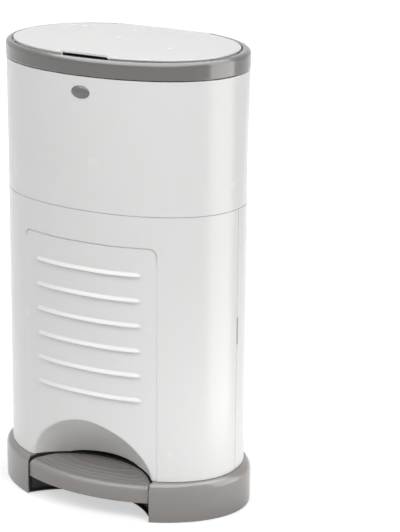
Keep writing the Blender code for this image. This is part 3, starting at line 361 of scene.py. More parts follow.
def turned(axis, start, profile, sides=32):
    """Turn a profile of (radius, distance along the axis) about an axis."""
    rings = [[Vector((radius * math.cos(2.0 * math.pi * i / sides),
                      radius * math.sin(2.0 * math.pi * i / sides), along)) for i in range(sides)]
             for radius, along in profile]
    bm = loft(rings)
    matrix = Matrix.Translation(Vector(start)) @ AXIS_TURN[axis]
    bmesh.ops.transform(bm, matrix=matrix, verts=bm.verts)
    return bm


def rod(axis, start, length, radius, edge=0.0005, sides=32):
    """A rod whose ends have eased edges."""
    return turned(axis, start, [(radius - edge, 0.0), (radius, edge), (radius, length - edge),
                                (radius - edge, length)], sides)


def gather(*meshes):
    """Several bmeshes as one."""
    whole = bmesh.new()
    for bm in meshes:
        scratch = bpy.data.meshes.new("scratch")
        bm.to_mesh(scratch)
        bm.free()
        whole.from_mesh(scratch)
        bpy.data.meshes.remove(scratch)
    return whole


def apply_modifiers(item):
    """Bake an object's modifiers into its mesh."""
    graph = bpy.context.evaluated_depsgraph_get()
    baked = bpy.data.meshes.new_from_object(item.evaluated_get(graph))
    old = item.data
    item.modifiers.clear()
    item.data = baked
    bpy.data.meshes.remove(old)


def carve(item, *cutters):
    """Cut closed shapes out of a piece."""
    for bm in cutters:
        bmesh.ops.recalc_face_normals(bm, faces=bm.faces)
        mesh = bpy.data.meshes.new("cutter")
        bm.to_mesh(mesh)
        bm.free()
        tool = bpy.data.objects.new("cutter", mesh)
        bpy.context.scene.collection.objects.link(tool)
        modifier = item.modifiers.new("carve", "BOOLEAN")
        modifier.operation = "DIFFERENCE"
        modifier.solver = "EXACT"
        modifier.object = tool
        apply_modifiers(item)
        bpy.data.objects.remove(tool, do_unlink=True)
        bpy.data.meshes.remove(mesh)


def thicken(item, depth):
    """Give a skin its wall, inwards from its face."""
    modifier = item.modifiers.new("thicken", "SOLIDIFY")
    modifier.thickness = depth
    modifier.offset = -1.0
    modifier.use_even_offset = True
    apply_modifiers(item)


def ease_edges(item, width=FINE_EDGE, angle=50.0, segments=2):
    """Round a piece's sharp edges and keep its broad faces' shading flat."""
    modifier = item.modifiers.new("ease", "BEVEL")
    modifier.width = width
    modifier.segments = segments
    modifier.limit_method = "ANGLE"
    modifier.angle_limit = math.radians(angle)
    modifier.use_clamp_overlap = True
    modifier.miter_outer = "MITER_ARC"
    weigh = item.modifiers.new("weigh", "WEIGHTED_NORMAL")
    weigh.keep_sharp = True
    weigh.weight = 60
    apply_modifiers(item)


# Materials

def add_node(tree, kind, values=None, operation=None):
    """A new node with its sockets' values, and its operation where it has one."""
    node = tree.nodes.new(kind)
    if operation:
        node.operation = operation
    for socket, value in (values or {}).items():
        node.inputs[socket].default_value = value
    return node


def plastic(name, colour, roughness, grain=0.02, mottle=0.012, coat=0.0, grain_size=1400.0,
            specular=0.5):
    """Moulded plastic: faint cloudiness, uneven gloss and a very fine moulded grain."""
    material = bpy.data.materials.new(name)
    material.use_nodes = True
    tree = material.node_tree
    shader = tree.nodes["Principled BSDF"]
    shader.inputs["Specular IOR Level"].default_value = specular
    shader.inputs["Coat Weight"].default_value = coat
    shader.inputs["Coat Roughness"].default_value = 0.08
    where = add_node(tree, "ShaderNodeTexCoord")

    def noise(scale, detail):
        texture = add_node(tree, "ShaderNodeTexNoise", {"Scale": scale, "Detail": detail})
        tree.links.new(where.outputs["Object"], texture.inputs["Vector"])
        return texture.outputs["Fac"]

    tint = add_node(tree, "ShaderNodeMapRange", {"To Min": 1.0 - mottle, "To Max": 1.0 + mottle})
    shade = add_node(tree, "ShaderNodeVectorMath", {0: colour}, "SCALE")
    tree.links.new(noise(9.0, 3.0), tint.inputs["Value"])
    tree.links.new(tint.outputs["Result"], shade.inputs["Scale"])
    tree.links.new(shade.outputs["Vector"], shader.inputs["Base Color"])
    gloss = add_node(tree, "ShaderNodeMapRange", {"To Min": roughness * 0.90,
                                                  "To Max": roughness * 1.12})
    tree.links.new(noise(26.0, 4.0), gloss.inputs["Value"])
    tree.links.new(gloss.outputs["Result"], shader.inputs["Roughness"])
    bump = add_node(tree, "ShaderNodeBump", {"Strength": grain, "Distance": 0.0003})
    tree.links.new(noise(grain_size, 2.0), bump.inputs["Height"])
    tree.links.new(bump.outputs["Normal"], shader.inputs["Normal"])
    return material


def metal(name, colour, roughness):
    """Bright steel with a coarser grain and uneven gloss."""
    material = plastic(name, colour, roughness, grain=0.06, mottle=0.05, grain_size=900.0)
    material.node_tree.nodes["Principled BSDF"].inputs["Metallic"].default_value = 1.0
    return material


WHITE = plastic("white_gloss_plastic", (0.80, 0.80, 0.795), 0.26, specular=0.30)
GREY = plastic("warm_grey_plastic", (0.270, 0.256, 0.246), 0.24, grain=0.05, mottle=0.03, coat=0.2)
GREY_MATT = plastic("warm_grey_satin", (0.262, 0.246, 0.238), 0.38, grain=0.10, mottle=0.03)
RIM_GREY = plastic("rim_grey_plastic", (0.138, 0.135, 0.131), 0.22, grain=0.05, mottle=0.03,
                   coat=0.4)
# Black matt plastic for the dark CAD parts; on the deck and the well lip its black is painted shade
# of the gap behind the pedal.
BLACK_AND_GAP_SHADE = plastic("black_plastic_and_painted_gap_shade", (0.012, 0.012, 0.012), 0.55, grain=0.10)
REFILL = plastic("refill_plastic", (0.55, 0.66, 0.72), 0.45, grain=0.08, mottle=0.03)
RUBBER = plastic("black_rubber", (0.022, 0.022, 0.022), 0.80, grain=0.25, mottle=0.08)
STEEL = metal("bright_steel", (0.62, 0.61, 0.60), 0.30)
SLOT_MATERIALS = {"white_plastic": WHITE, "grey_plastic": GREY_MATT, "dark_plastic": BLACK_AND_GAP_SHADE,
                  "refill_plastic": REFILL, "rubber": RUBBER, "steel": STEEL}


def dress_frame():
    """Give every carried-over CAD node the procedural material of its slot."""
    for part in frame["record"]["subparts"]:
        item = frame["nodes"][part["node"]]
        for material_slot in item.material_slots:
            material_slot.material = SLOT_MATERIALS[part["material_slot"]]


# Front door

def finish_shell(item, depth=WALL):
    """Give a lower shell its wall and its soft edges."""
    thicken(item, depth)
    ease_edges(item, SHELL_EDGE, segments=3)


def arch_share(z):
    """How far up the arch a height is, from 0 to 1."""
    return min(1.0, max(0.0, (z - ARCH_FOOT_Z) / ARCH_RISE))


def arch_half(z):
    """Half width of the arch at a height."""
    return ARCH_HALF * (1.0 - arch_share(z) ** ARCH_ROUND) ** (1.0 / ARCH_ROUND)


def scoop_y(x, z):
    """Depth of the scoop behind the arch, as y: a flat arc from edge to edge at each height."""
    half = max(0.0008, arch_half(z))
    oval = body_oval(z, PANEL_DEPTH)
    edge = front_y(oval, half)
    mouth = -oval[1]
    back = mouth + (ARCH_BACK_Y - mouth) * math.sqrt(max(0.0, 1.0 - arch_share(z) ** 2))
    rise = max(0.0002, back - edge)
    radius = (half ** 2 + rise ** 2) / (2.0 * rise)
    return edge + rise - radius + math.sqrt(max(0.0, radius ** 2 - min(abs(x), half) ** 2))


def panel_distance(x, z):
    """How far inside the panel's outline a point is; the panel is open below."""
    inner_x = PANEL_HALF - PANEL_CORNER
    inner_z = PANEL_TOP - PANEL_CORNER
    out_x, out_z = max(0.0, abs(x) - inner_x), max(0.0, z - inner_z)
    if out_x > 0.0 and out_z > 0.0:
        return PANEL_CORNER - math.hypot(out_x, out_z)
    return min(PANEL_HALF - abs(x), PANEL_TOP - z)


def panel_inset(x, z):
    """Depth of the panel: a crisp step with a fine groove along its top, and soft sides."""
    distance = panel_distance(x, z)
    if x > 0.0:
        fade, soft, share = GROOVE_FADE_RIGHT, PANEL_SOFT_RIGHT, GROOVE_SIDE_SHARE
    else:
        fade, soft, share = GROOVE_FADE_LEFT, PANEL_SOFT_LEFT, 0.0
    side = smooth(max(0.0, PANEL_TOP - PANEL_CORNER - z) / fade)
    step = PANEL_STEP + (soft - PANEL_STEP) * side
    strength = share * side + 1.0 - side
    groove = 1.0 - smooth(abs(distance - GROOVE_INSIDE) / GROOVE_HALF)
    return PANEL_DEPTH * smooth(0.5 + distance / step) + GROOVE_DEPTH * strength * groove


def rib_height(x, z):
    """Raised ribs: a long upper slope, a short lower one and rounded ends."""
    number = round((RIB_FIRST_Z - z) / RIB_PITCH)
    number = min(RIB_COUNT - 1, max(0, number))
    offset = z - (RIB_FIRST_Z - RIB_PITCH * number)
    end = max(0.0, (abs(x) - (RIB_HALF - RIB_END)) / RIB_END)
    if end >= 1.0:
        return 0.0
    scale = math.sqrt(1.0 - end ** 2)
    reach = (RIB_UPPER if offset > RIB_CREST else RIB_LOWER) * max(RIB_END_SHARE, scale)
    share = min(1.0, abs(offset - RIB_CREST) / reach)
    return RIB_PROUD * scale * 0.5 * (1.0 + math.cos(math.pi * share))


def door_point(x, z):
    """A point of the door's outer face, sunk at the panel and raised at the ribs."""
    return Vector((x, front_y(body_oval(z, panel_inset(x, z) - rib_height(x, z)), x), z))


def door_columns():
    """x of the columns across the middle of the door, closer together where it changes."""
    half = span(0.0, 0.0800, 24) + span(0.0820, 0.0900, 10) + span(0.0920, 0.1000, 4)
    half += span(0.1008, 0.1096, 11)
    return [-x for x in reversed(half[1:])] + half


def door_rows():
    """z of the rows above the arch's patch, closer together at the ribs and the panel's top."""
    rows = []
    for number in range(RIB_COUNT):
        middle = RIB_FIRST_Z - RIB_PITCH * number
        rows += span(middle + RIB_CREST - RIB_LOWER - 0.0002, middle + RIB_CREST, 9)
        rows += span(middle + RIB_CREST, middle + RIB_CREST + RIB_UPPER + 0.0002, 12)[1:]
        rows += [middle + 0.0110, middle + 0.0190, middle + 0.0270]
    rows += [PATCH_TOP, 0.1680, 0.1760, 0.4070, 0.4100]
    rows += span(PANEL_TOP - PANEL_CORNER, PANEL_TOP + 0.0014, 18)
    rows += span(0.4280, SEAM_LOW, 7)
    rows = sorted(round(z, 5) for z in rows)
    return [z for i, z in enumerate(rows) if i == 0 or z - rows[i - 1] > 0.0002]


def arch_point(turn):
    """A point of the arch's edge as (x, z), from its left foot at 0 to its right foot at pi."""
    x = -ARCH_HALF * signed_power(math.cos(turn), 2.0 / ARCH_ROUND)
    z = ARCH_FOOT_Z + ARCH_RISE * abs(math.sin(turn)) ** (2.0 / ARCH_ROUND)
    return x, z


def patch_line(target, turn):
    """One line of the door's foot: from the patch's border to the arch, over its soft edge, and
    down the scoop to its own place on the bottom edge."""
    edge_x, edge_z = arch_point(turn)
    x, z = target
    start = ARCH_FILLET / math.hypot(x - edge_x, z - edge_z)
    line = [door_point(edge_x + (x - edge_x) * share, edge_z + (z - edge_z) * share)
            for share in span(1.0, start, PATCH_STEPS)]
    outer = line[-1]
    edge = door_point(edge_x, edge_z)

    def inside(scale):
        """A point of the scoop: scale 1 is the arch's edge, 0 the door's bottom edge."""
        deep_x = edge_x * (SCOOP_FOOT + (1.0 - SCOOP_FOOT) * scale)
        deep_z = SHELL_BOTTOM + (edge_z - SHELL_BOTTOM) * scale
        return Vector((deep_x, scoop_y(deep_x, deep_z), deep_z))

    low, high = 0.5, 1.0
    for _ in range(30):
        middle = (low + high) / 2.0
        if (inside(middle) - edge).length > ARCH_FILLET:
            low = middle
        else:
            high = middle
    inner = inside(high)
    for t in span(0.0, 1.0, FILLET_STEPS)[1:-1]:
        line.append(outer * (1.0 - t) ** 2 + edge * 2.0 * t * (1.0 - t) + inner * t * t)
    for step in range(SCOOP_STEPS):
        line.append(inside(high * math.cos(math.pi / 2.0 * step / SCOOP_STEPS)))
    return line


def build_door():
    """The front door's skin, in one piece with its panel, ribs and scoop, and its hinge barrel."""
    columns = door_columns()
    low_rows = span(SHELL_BOTTOM, PATCH_TOP, 20)
    side = span(columns[-1] + 0.0006, PANEL_HALF + 0.0012, 4) + [PANEL_HALF + 0.0030]
    half_depth, roundness = body_oval(DOOR_MIDDLE_Z)[1:]
    split_angle = math.acos((-DOOR_SPLIT_Y / half_depth) ** (roundness / 2.0))
    hinge_angle = math.acos((-DOOR_AXIS.y / half_depth) ** (roundness / 2.0))

    def outer_strip(z, sign):
        """Points from the panel's border to the door's side edge."""
        points = [door_point(sign * x, z) for x in side]
        half_width, _, round_here = body_oval(z)
        start = math.asin((abs(points[-1].x) / half_width) ** (round_here / 2.0))
        end = split_angle if sign > 0.0 else hinge_angle
        return points + [body_point(sign * angle, z) for angle in span(start, end, 26)[1:]]

    bm = bmesh.new()
    table = {}

    def vert(point):
        """The vertex at a point, made once."""
        key = (round(point.x, 6), round(point.y, 6), round(point.z, 6))
        if key not in table:
            table[key] = bm.verts.new(point)
        return table[key]

    def add(grid_rows):
        """Faces between rows of points, triangles where two corners fall together."""
        made = [[vert(point) for point in row] for row in grid_rows]
        for low, high in zip(made, made[1:]):
            for i in range(len(low) - 1):
                corners = []
                for corner in (low[i], low[i + 1], high[i + 1], high[i]):
                    if corner not in corners:
                        corners.append(corner)
                if len(corners) > 2:
                    bm.faces.new(corners)

    add([list(reversed(outer_strip(z, -1.0))) + [door_point(x, z) for x in columns]
         + outer_strip(z, 1.0) for z in door_rows()])
    for sign in (-1.0, 1.0):
        strip_rows = [[door_point(sign * columns[-1], z)] + outer_strip(z, sign) for z in low_rows]
        add([list(reversed(row)) for row in strip_rows] if sign < 0.0 else strip_rows)
    border = [(columns[0], z) for z in low_rows] + [(x, PATCH_TOP) for x in columns[1:-1]]
    border += [(columns[-1], z) for z in reversed(low_rows)]
    lengths = [0.0]
    for (x0, z0), (x1, z1) in zip(border, border[1:]):
        lengths.append(lengths[-1] + math.hypot(x1 - x0, z1 - z0))
    foot = math.asin(((SHELL_BOTTOM - ARCH_FOOT_Z) / ARCH_RISE) ** (ARCH_ROUND / 2.0))
    add([patch_line(target, foot + (math.pi - 2.0 * foot) * length / lengths[-1])
         for target, length in zip(border, lengths)])
    door = piece("fine_door", bm, WHITE, "front_door", ("front_door",),
                 SHELL_CREASE)
    if door.data.polygons[0].normal.y > 0.0:
        door.data.flip_normals()
    finish_shell(door, DOOR_WALL)
    barrel = rod("Z", (DOOR_AXIS.x, DOOR_AXIS.y, SHELL_BOTTOM + 0.0003),
                 SEAM_LOW - SHELL_BOTTOM - 0.0006, BARREL_RADIUS, 0.0006, 40)
    piece("door_barrel", barrel, WHITE, "front_door")


# Rear shell, upper shell and button

def build_rear():
    """The rear shell, with the finger notch in its right edge."""
    def edge_angle(y, z):
        """The angle at which the column's right side reaches y."""
        half_depth, roundness = body_oval(z)[1:]
        turn = math.asin((abs(y) / half_depth) ** (roundness / 2.0))
        return math.pi / 2.0 + math.copysign(turn, y)

    heights = span(SHELL_BOTTOM, NOTCH_BOTTOM, 22) + span(NOTCH_BOTTOM, NOTCH_TOP, 8)[1:]
    heights += span(NOTCH_TOP, SEAM_LOW, 18)[1:]
    bm = bmesh.new()
    made = []
    for z in heights:
        edge, notch_end = edge_angle(DOOR_SPLIT_Y + SPLIT_GAP, z), edge_angle(NOTCH_Y, z)
        angles = span(edge, notch_end, NOTCH_COLUMNS)
        angles += span(notch_end, 2.0 * math.pi - edge, 110)[1:]
        made.append([bm.verts.new(body_point(angle, z)) for angle in angles])
    for low, high in zip(made, made[1:]):
        in_notch = low[0].co.z > NOTCH_BOTTOM - 0.0001 and high[0].co.z < NOTCH_TOP + 0.0001
        skip = NOTCH_COLUMNS if in_notch else 0
        skin(bm, [low[skip:], high[skip:]])
    bmesh.ops.delete(bm, geom=[v for v in bm.verts if not v.link_faces], context="VERTS")
    rear = piece("fine_rear_shell", bm, WHITE, "root", ("rear_shell",),
                 SHELL_CREASE)
    if rear.data.polygons[-1].normal.x > 0.0:
        rear.data.flip_normals()
    finish_shell(rear)


def button_ring(y, scale=1.0, grow=0.0, sides=64):
    """The button's oval as a ring of points at one depth."""
    return [Vector(((BUTTON_HALF[0] * scale + grow) * math.cos(2.0 * math.pi * i / sides), y,
                    BUTTON_Z + (BUTTON_HALF[1] * scale + grow)
                    * math.sin(2.0 * math.pi * i / sides)))
            for i in range(sides)]


def build_upper():
    """The upper shell with its button hole."""
    rows = [[body_point(2.0 * math.pi * i / FINE - math.pi, z) for i in range(FINE)]
            for z in span(SEAM_HIGH, SHELL_TOP, 24)]
    upper = piece("fine_upper_shell", tube(rows), WHITE, "root",
                  ("upper_shell",), SHELL_CREASE, fix_normals=False)
    thicken(upper, WALL)
    carve(upper, loft([button_ring(y, grow=BUTTON_CLEARANCE) for y in (-0.20, -0.10)]))
    ease_edges(upper, UPPER_EDGE, segments=3)


def build_button():
    """The release button: a pillowed oval face on a straight skirt."""
    piece("fine_button", loft([button_ring(y, scale) for scale, y in BUTTON_FACE]), RIM_GREY,
          "release_button", ("release_button",), BUTTON_CREASE)


# Base and pedal

def well_back(x, gap=0.0):
    """y of the pedal opening's curved back at x."""
    return WELL_BACK_Y - WELL_RADIUS + math.sqrt((WELL_RADIUS + gap) ** 2 - x ** 2)


def well_cutter():
    """The pedal opening's whole shape, to be cut out of the base."""
    front = -0.20
    xs = span(WELL_HALF, -WELL_HALF, 72)
    outline = [(WELL_HALF, front)] + [(x, well_back(x)) for x in xs] + [(-WELL_HALF, front)]
    return extrude_z(outline, -0.01, 0.09)


def build_base():
    """The skirt with its rounded shoulder, the deck, and the lip along the pedal opening; the deck
    and the lip are black as painted shade of the gap behind the pedal.
    """
    shoulder_z = SKIRT_TOP - SHOULDER
    profile = arc(BASE_FOOT_ROUND, BASE_LIFT + BASE_FOOT_ROUND, BASE_FOOT_ROUND, -90.0, 0.0, 4)
    profile += [(0.0, z) for z in span(0.010, 0.045, 5)]
    profile += arc(SHOULDER, shoulder_z, SHOULDER, 0.0, 90.0, 18)
    profile += [(SHOULDER + 0.0030, SKIRT_TOP), (SHOULDER + 0.0060, SKIRT_TOP - 0.0001),
                (SHOULDER + 0.0060, SKIRT_TOP - WALL)]
    profile += reversed(arc(SHOULDER, shoulder_z, SHOULDER - WALL, 0.0, 90.0, 8))
    profile += [(WALL, BASE_LIFT)]
    base = piece("fine_base", loft([oval_ring(BASE_OVAL, z, inset) for inset, z in profile], True),
                 GREY, "root", ("base_skirt",), CREASE)
    carve(base, well_cutter())
    ease_edges(base, BASE_EDGE)
    # Painted shade: the deck is black to stand for the shadowed gap between the pedal and the
    # door's foot.
    deck = piece("base_deck", loft([oval_ring(BASE_OVAL, z, SHOULDER + 0.0020)
                                    for z in (DECK_BOTTOM, DECK_TOP)]),
                 BLACK_AND_GAP_SHADE, "root")
    carve(deck, well_cutter(), turned("Z", (0.0, ROD_HOLE_Y, 0.05),
                                      [(ROD_HOLE_RADIUS, 0.0), (ROD_HOLE_RADIUS, 0.02)]))
    ease_edges(deck)
    xs = span(-WELL_HALF - 0.0030, WELL_HALF + 0.0030, 72)
    outline = [(x, well_back(x, WELL_LIP_WALL)) for x in xs]
    outline += [(x, well_back(x)) for x in reversed(xs)]
    # Painted shade: the lip is black to stand for the shadowed gap behind the pedal.
    piece("well_lip", extrude_z(outline, WELL_LIP_BOTTOM, DECK_BOTTOM + 0.0010),
          BLACK_AND_GAP_SHADE, "root", (), CREASE)


def pedal_section(x):
    """One slice of the pedal from front to back as (y, z), outside then inside."""
    front = front_y(BASE_OVAL, x, PEDAL_INSET)
    back = well_back(x) - PEDAL_GAP
    depth = back - front
    end = min(1.0, max(0.0, (abs(x) - (PEDAL_HALF - PEDAL_END)) / PEDAL_END))
    top = PEDAL_TOP - PEDAL_END_DROP * (1.0 - math.sqrt(1.0 - end ** 2))
    radius = min(PEDAL_SHOULDER, depth * 0.42)
    growth = smooth((depth - TREAD_FROM) / TREAD_GROWTH)

    def tread(distance):
        """Height of the tread: dished, ridged and lifted towards its rear."""
        along = max(0.0, distance - radius) / max(0.001, depth - radius)
        dish = PEDAL_DISH * growth * math.sin(math.pi * min(1.0, along * 1.12))
        fade = smooth((depth - distance - 0.0030) / 0.0060)
        ridge = 0.0
        for middle in RIDGES:
            offset = abs(distance - middle)
            if offset < RIDGE_HALF:
                ridge = 0.5 * (1.0 + math.cos(math.pi * offset / RIDGE_HALF))
        lift = PEDAL_REAR_LIFT * smooth((along - 0.55) / 0.45) * growth
        return top - dish + lift + RIDGE_HEIGHT * ridge * fade

    outside = [(front + 0.0006, PEDAL_BOTTOM), (front + 0.0001, PEDAL_BOTTOM + 0.0006)]
    outside += [(front, PEDAL_BOTTOM + height) for height in (0.0030, 0.0080, 0.0130)]
    for angle in span(0.0, math.pi / 2.0, 12):
        outside.append((front + radius * (1.0 - math.cos(angle)),
                        top - radius + radius * math.sin(angle)))
    limit = depth - 0.0014
    for number, distance in enumerate(TREAD_STEPS):
        held = min(max(distance, radius + 1e-5 * (number + 1)),
                   limit - 1e-5 * (len(TREAD_STEPS) - number))
        outside.append((front + held, tread(held)))
    rear = tread(depth)
    outside += [(back - 0.0005, rear - 0.0003), (back, rear - 0.0012), (back, PEDAL_TOP - 0.0075)]
    wall = min(PEDAL_WALL, depth * 0.30)
    inner = PEDAL_TOP - 0.0085
    inside = [(back - wall * 0.6, PEDAL_TOP - 0.0080), (back - wall, inner),
              (front + wall + 0.0020, inner), (front + wall, inner - 0.0030),
              (front + wall, PEDAL_BOTTOM)]
    return outside + inside


def build_pedal():
    """The pedal, in slices that lie closer together towards its two ends."""
    rings = []
    for step in range(PEDAL_COLUMNS + 1):
        x = PEDAL_HALF * math.sin(math.pi * (step / PEDAL_COLUMNS - 0.5) * 0.98)
        x /= math.sin(math.pi * 0.49)
        rings.append([Vector((x, y, z)) for y, z in pedal_section(x)])
    pedal = piece("fine_pedal", loft(rings), GREY_MATT, "pedal", ("pedal",), CREASE)
    ease_edges(pedal, angle=60.0)


# Rim, back hinge and lid

def build_rim():
    """The rim with its rounded top and the pocket for the lid, and the ramp below the slot."""
    body = body_oval(RIM_BOTTOM)
    pocket = (LID_OVAL[0] + LID_SIDE_GAP, LID_OVAL[1] + LID_FRONT_GAP, LID_OVAL[2])
    foot = arc(RIM_FOOT_ROUND - RIM_PROUD, RIM_BOTTOM + RIM_FOOT_ROUND, RIM_FOOT_ROUND,
               -90.0, 0.0, 4)
    rings = [oval_ring(body, z, inset) for inset, z in foot]
    rings += [oval_ring(body, z, -RIM_PROUD) for z in span(0.6720, 0.6860, 4)]
    crest = [oval_ring(body, z, inset) for inset, z in arc(RIM_ROUND - RIM_PROUD,
                                                           RIM_TOP - RIM_ROUND, RIM_ROUND,
                                                           0.0, 90.0, 14)]
    crest += [oval_ring(pocket, RIM_TOP - RIM_INNER_DROP * drop, inset, LID_Y)
              for inset, drop in ((-0.0008, 0.7), (-0.0003, 1.0), (0.0, 1.5))]
    for ring in crest:
        for point in ring:
            point.z += RIM_TILT * point.y
    rings += crest
    rings += [oval_ring(pocket, LEDGE_TOP, y_shift=LID_Y), oval_ring(LEDGE_OVAL, LEDGE_TOP),
              oval_ring(LEDGE_OVAL, LEDGE_BOTTOM), oval_ring(body, LEDGE_BOTTOM, 0.0120),
              oval_ring(body, LEDGE_BOTTOM - 0.0050, 0.0042), oval_ring(body, RIM_BOTTOM, 0.0031)]
    rim = piece("fine_rim", loft(rings, True), RIM_GREY, "top_frame", ("rim",),
                CREASE)
    gap = TONGUE_HALF + 0.0010
    tongue_room = block((-gap, 0.0900, 0.6925), (gap, 0.1500, CUT_TOP))
    barrel_room = turned("X", (-BARREL_CHANNEL_HALF, LID_AXIS.y, LID_AXIS.z),
                         [(BARREL_CHANNEL_RADIUS, 0.0),
                          (BARREL_CHANNEL_RADIUS, 2.0 * BARREL_CHANNEL_HALF)])
    finger_room = block((-0.0105, 0.0955, 0.6600), (0.0105, 0.1165, CUT_TOP))
    slot_room = block((-SLOT_HALF, SLOT_LEDGE_Y, 0.6800), (SLOT_HALF, -0.1000, CUT_TOP))
    carve(rim, tongue_room, barrel_room, finger_room, slot_room)
    ease_edges(rim)
    piece("slot_ramp", extrude_x(SLOT_RAMP, SLOT_HALF), RIM_GREY, "top_frame",
          (), CREASE)


def hinge_part(middle, length, root_y, heights):
    """A rod on the back hinge's axis, with the block that carries it."""
    low_x = middle - length / 2.0
    return gather(block((low_x, root_y, heights[0]), (low_x + length, HINGE_Y, heights[1])),
                  rod("X", (low_x, HINGE_Y, HINGE_Z), length, HINGE_RADIUS))


def build_hinge():
    """The rim's knuckles and the shell's lugs between them."""
    for sign, name in ((-1.0, "left"), (1.0, "right")):
        for place, offset, root_y in KNUCKLES:
            knuckle = hinge_part(sign * (HINGE_X + offset), KNUCKLE_LENGTH, root_y,
                                 KNUCKLE_HEIGHTS)
            ease_edges(piece(f"rim_knuckle_{name}_{place}", knuckle, RIM_GREY,
                             "top_frame"))
        lug = hinge_part(sign * HINGE_X, LUG_LENGTH, LUG_ROOT_Y, LUG_HEIGHTS)
        ease_edges(piece(f"shell_lug_{name}", lug, WHITE, "root"))


def build_lid():
    """The almost flat lid with its rounded edge, tongue, hinge barrels and lever finger."""
    half_width, half_depth, roundness = LID_OVAL

    def crown(scale):
        """Height of the lid's slight dome, from its edge at 1 to its middle at 0."""
        return LID_EDGE_TOP + LID_DOME * (1.0 - scale ** 2)

    profile = [(s, crown(s) - LID_WALL) for s in (0.02, 0.30, 0.60, 0.85, 0.950)]
    profile += [(0.955, LID_SKIRT_BOTTOM), (0.980, LID_SKIRT_BOTTOM), (0.980, LID_PLATE_BOTTOM),
                (0.996, LID_PLATE_BOTTOM), (0.9993, LID_PLATE_BOTTOM + 0.0003),
                (1.0, LID_PLATE_BOTTOM + 0.0008), (1.0, LID_EDGE_TOP - 0.0010),
                (0.9990, LID_EDGE_TOP - 0.0005), (0.9965, LID_EDGE_TOP - 0.0001),
                (0.992, LID_EDGE_TOP + 0.00006)]
    profile += [(s, crown(s)) for s in (0.975, 0.95, 0.92, 0.87, 0.80, 0.70, 0.58, 0.45, 0.30,
                                        0.15, 0.05, 0.02)]
    rings = [oval_ring((half_width * s, half_depth * s, roundness), z, y_shift=LID_Y)
             for s, z in profile]
    lid = piece("fine_lid", loft(rings), WHITE, "lid", ("lid",), CREASE)
    slot_back = LID_Y - half_depth + SLOT_DEPTH
    carve(lid, block((-SLOT_HALF, -0.1400, 0.6700), (SLOT_HALF, slot_back, 0.7200)))
    ease_edges(lid)
    tongue = ((TONGUE_FRONT_Y, LID_PLATE_BOTTOM + 0.0001),
              (TONGUE_BACK_Y - 0.0008, LID_PLATE_BOTTOM + 0.0001),
              (TONGUE_BACK_Y, LID_PLATE_BOTTOM + 0.0008), (TONGUE_BACK_Y, LID_EDGE_TOP - 0.0008),
              (TONGUE_BACK_Y - 0.0005, LID_EDGE_TOP - 0.0002),
              (TONGUE_BACK_Y - 0.0018, LID_EDGE_TOP + 0.0001),
              (TONGUE_FRONT_Y, LID_EDGE_TOP + 0.0006))
    ease_edges(piece("lid_tongue", extrude_x(tongue, TONGUE_HALF), WHITE, "lid",
                     (), CREASE))
    for sign, name in ((-1.0, "left"), (1.0, "right")):
        start = sign * LID_BARREL_X - LID_BARREL_LENGTH / 2.0
        web = block((start + 0.0002, 0.1120, LID_EDGE_TOP - 0.0060),
                    (start + LID_BARREL_LENGTH - 0.0002, 0.1200, LID_EDGE_TOP - 0.0014))
        barrel = rod("X", (start, LID_AXIS.y, LID_AXIS.z), LID_BARREL_LENGTH, BARREL_RADIUS)
        piece(f"lid_barrel_{name}", gather(barrel, web), WHITE, "lid")
    tip_y = LID_AXIS.y - FINGER_REACH * math.cos(FINGER_ANGLE)
    tip_z = LID_AXIS.z - FINGER_REACH * math.sin(FINGER_ANGLE)
    finger = ((0.0995, FINGER_TOP), (tip_y - FINGER_TIP, tip_z), (tip_y, tip_z - FINGER_TIP),
              (tip_y + FINGER_TIP, tip_z), (0.1130, FINGER_TOP))
    ease_edges(piece("lid_finger", extrude_x(finger, FINGER_HALF), WHITE, "lid"))


# Floor, light and camera

def direct_ray(tree):
    """1 for camera, glossy and transmission rays, so they see the white, 0 for diffuse ones."""
    path = add_node(tree, "ShaderNodeLightPath")
    last = path.outputs["Is Camera Ray"]
    for name in ("Is Glossy Ray", "Is Transmission Ray"):
        more = add_node(tree, "ShaderNodeMath", operation="MAXIMUM")
        tree.links.new(last, more.inputs[0])
        tree.links.new(path.outputs[name], more.inputs[1])
        last = more.outputs[0]
    return last


def build_stage():
    """The floor: it keeps the shadow close to the bin and turns white away from it."""
    bm = bmesh.new()
    bmesh.ops.create_grid(bm, x_segments=1, y_segments=1, size=FLOOR_HALF)
    floor = bpy.data.objects.new("floor", bpy.data.meshes.new("floor"))
    bm.to_mesh(floor.data)
    bm.free()
    bpy.context.scene.collection.objects.link(floor)
    material = bpy.data.materials.new("pale_floor")
    material.use_nodes = True
    tree = material.node_tree
    tree.nodes.clear()
    where = add_node(tree, "ShaderNodeTexCoord")
    reach = add_node(tree, "ShaderNodeVectorMath", operation="LENGTH")
    level = add_node(tree, "ShaderNodeMapRange", {"From Min": GLOW_FROM, "From Max": GLOW_FULL,
                                                  "To Min": FLOOR_GLOW, "To Max": 1.0})
    level.interpolation_type = "SMOOTHSTEP"
    strength = add_node(tree, "ShaderNodeMath", operation="MULTIPLY")
    glow = add_node(tree, "ShaderNodeEmission", {"Color": (1.0, 1.0, 1.0, 1.0)})
    diffuse = add_node(tree, "ShaderNodeBsdfDiffuse",
                       {"Color": (FLOOR_TONE, FLOOR_TONE, FLOOR_TONE, 1.0)})
    total = add_node(tree, "ShaderNodeAddShader")
    out = add_node(tree, "ShaderNodeOutputMaterial")
    tree.links.new(where.outputs["Object"], reach.inputs[0])
    tree.links.new(reach.outputs["Value"], level.inputs["Value"])
    tree.links.new(direct_ray(tree), strength.inputs[0])
    tree.links.new(level.outputs["Result"], strength.inputs[1])
    tree.links.new(strength.outputs[0], glow.inputs["Strength"])
    tree.links.new(diffuse.outputs[0], total.inputs[0])
    tree.links.new(glow.outputs[0], total.inputs[1])
    tree.links.new(total.outputs[0], out.inputs["Surface"])
    floor.data.materials.append(material)


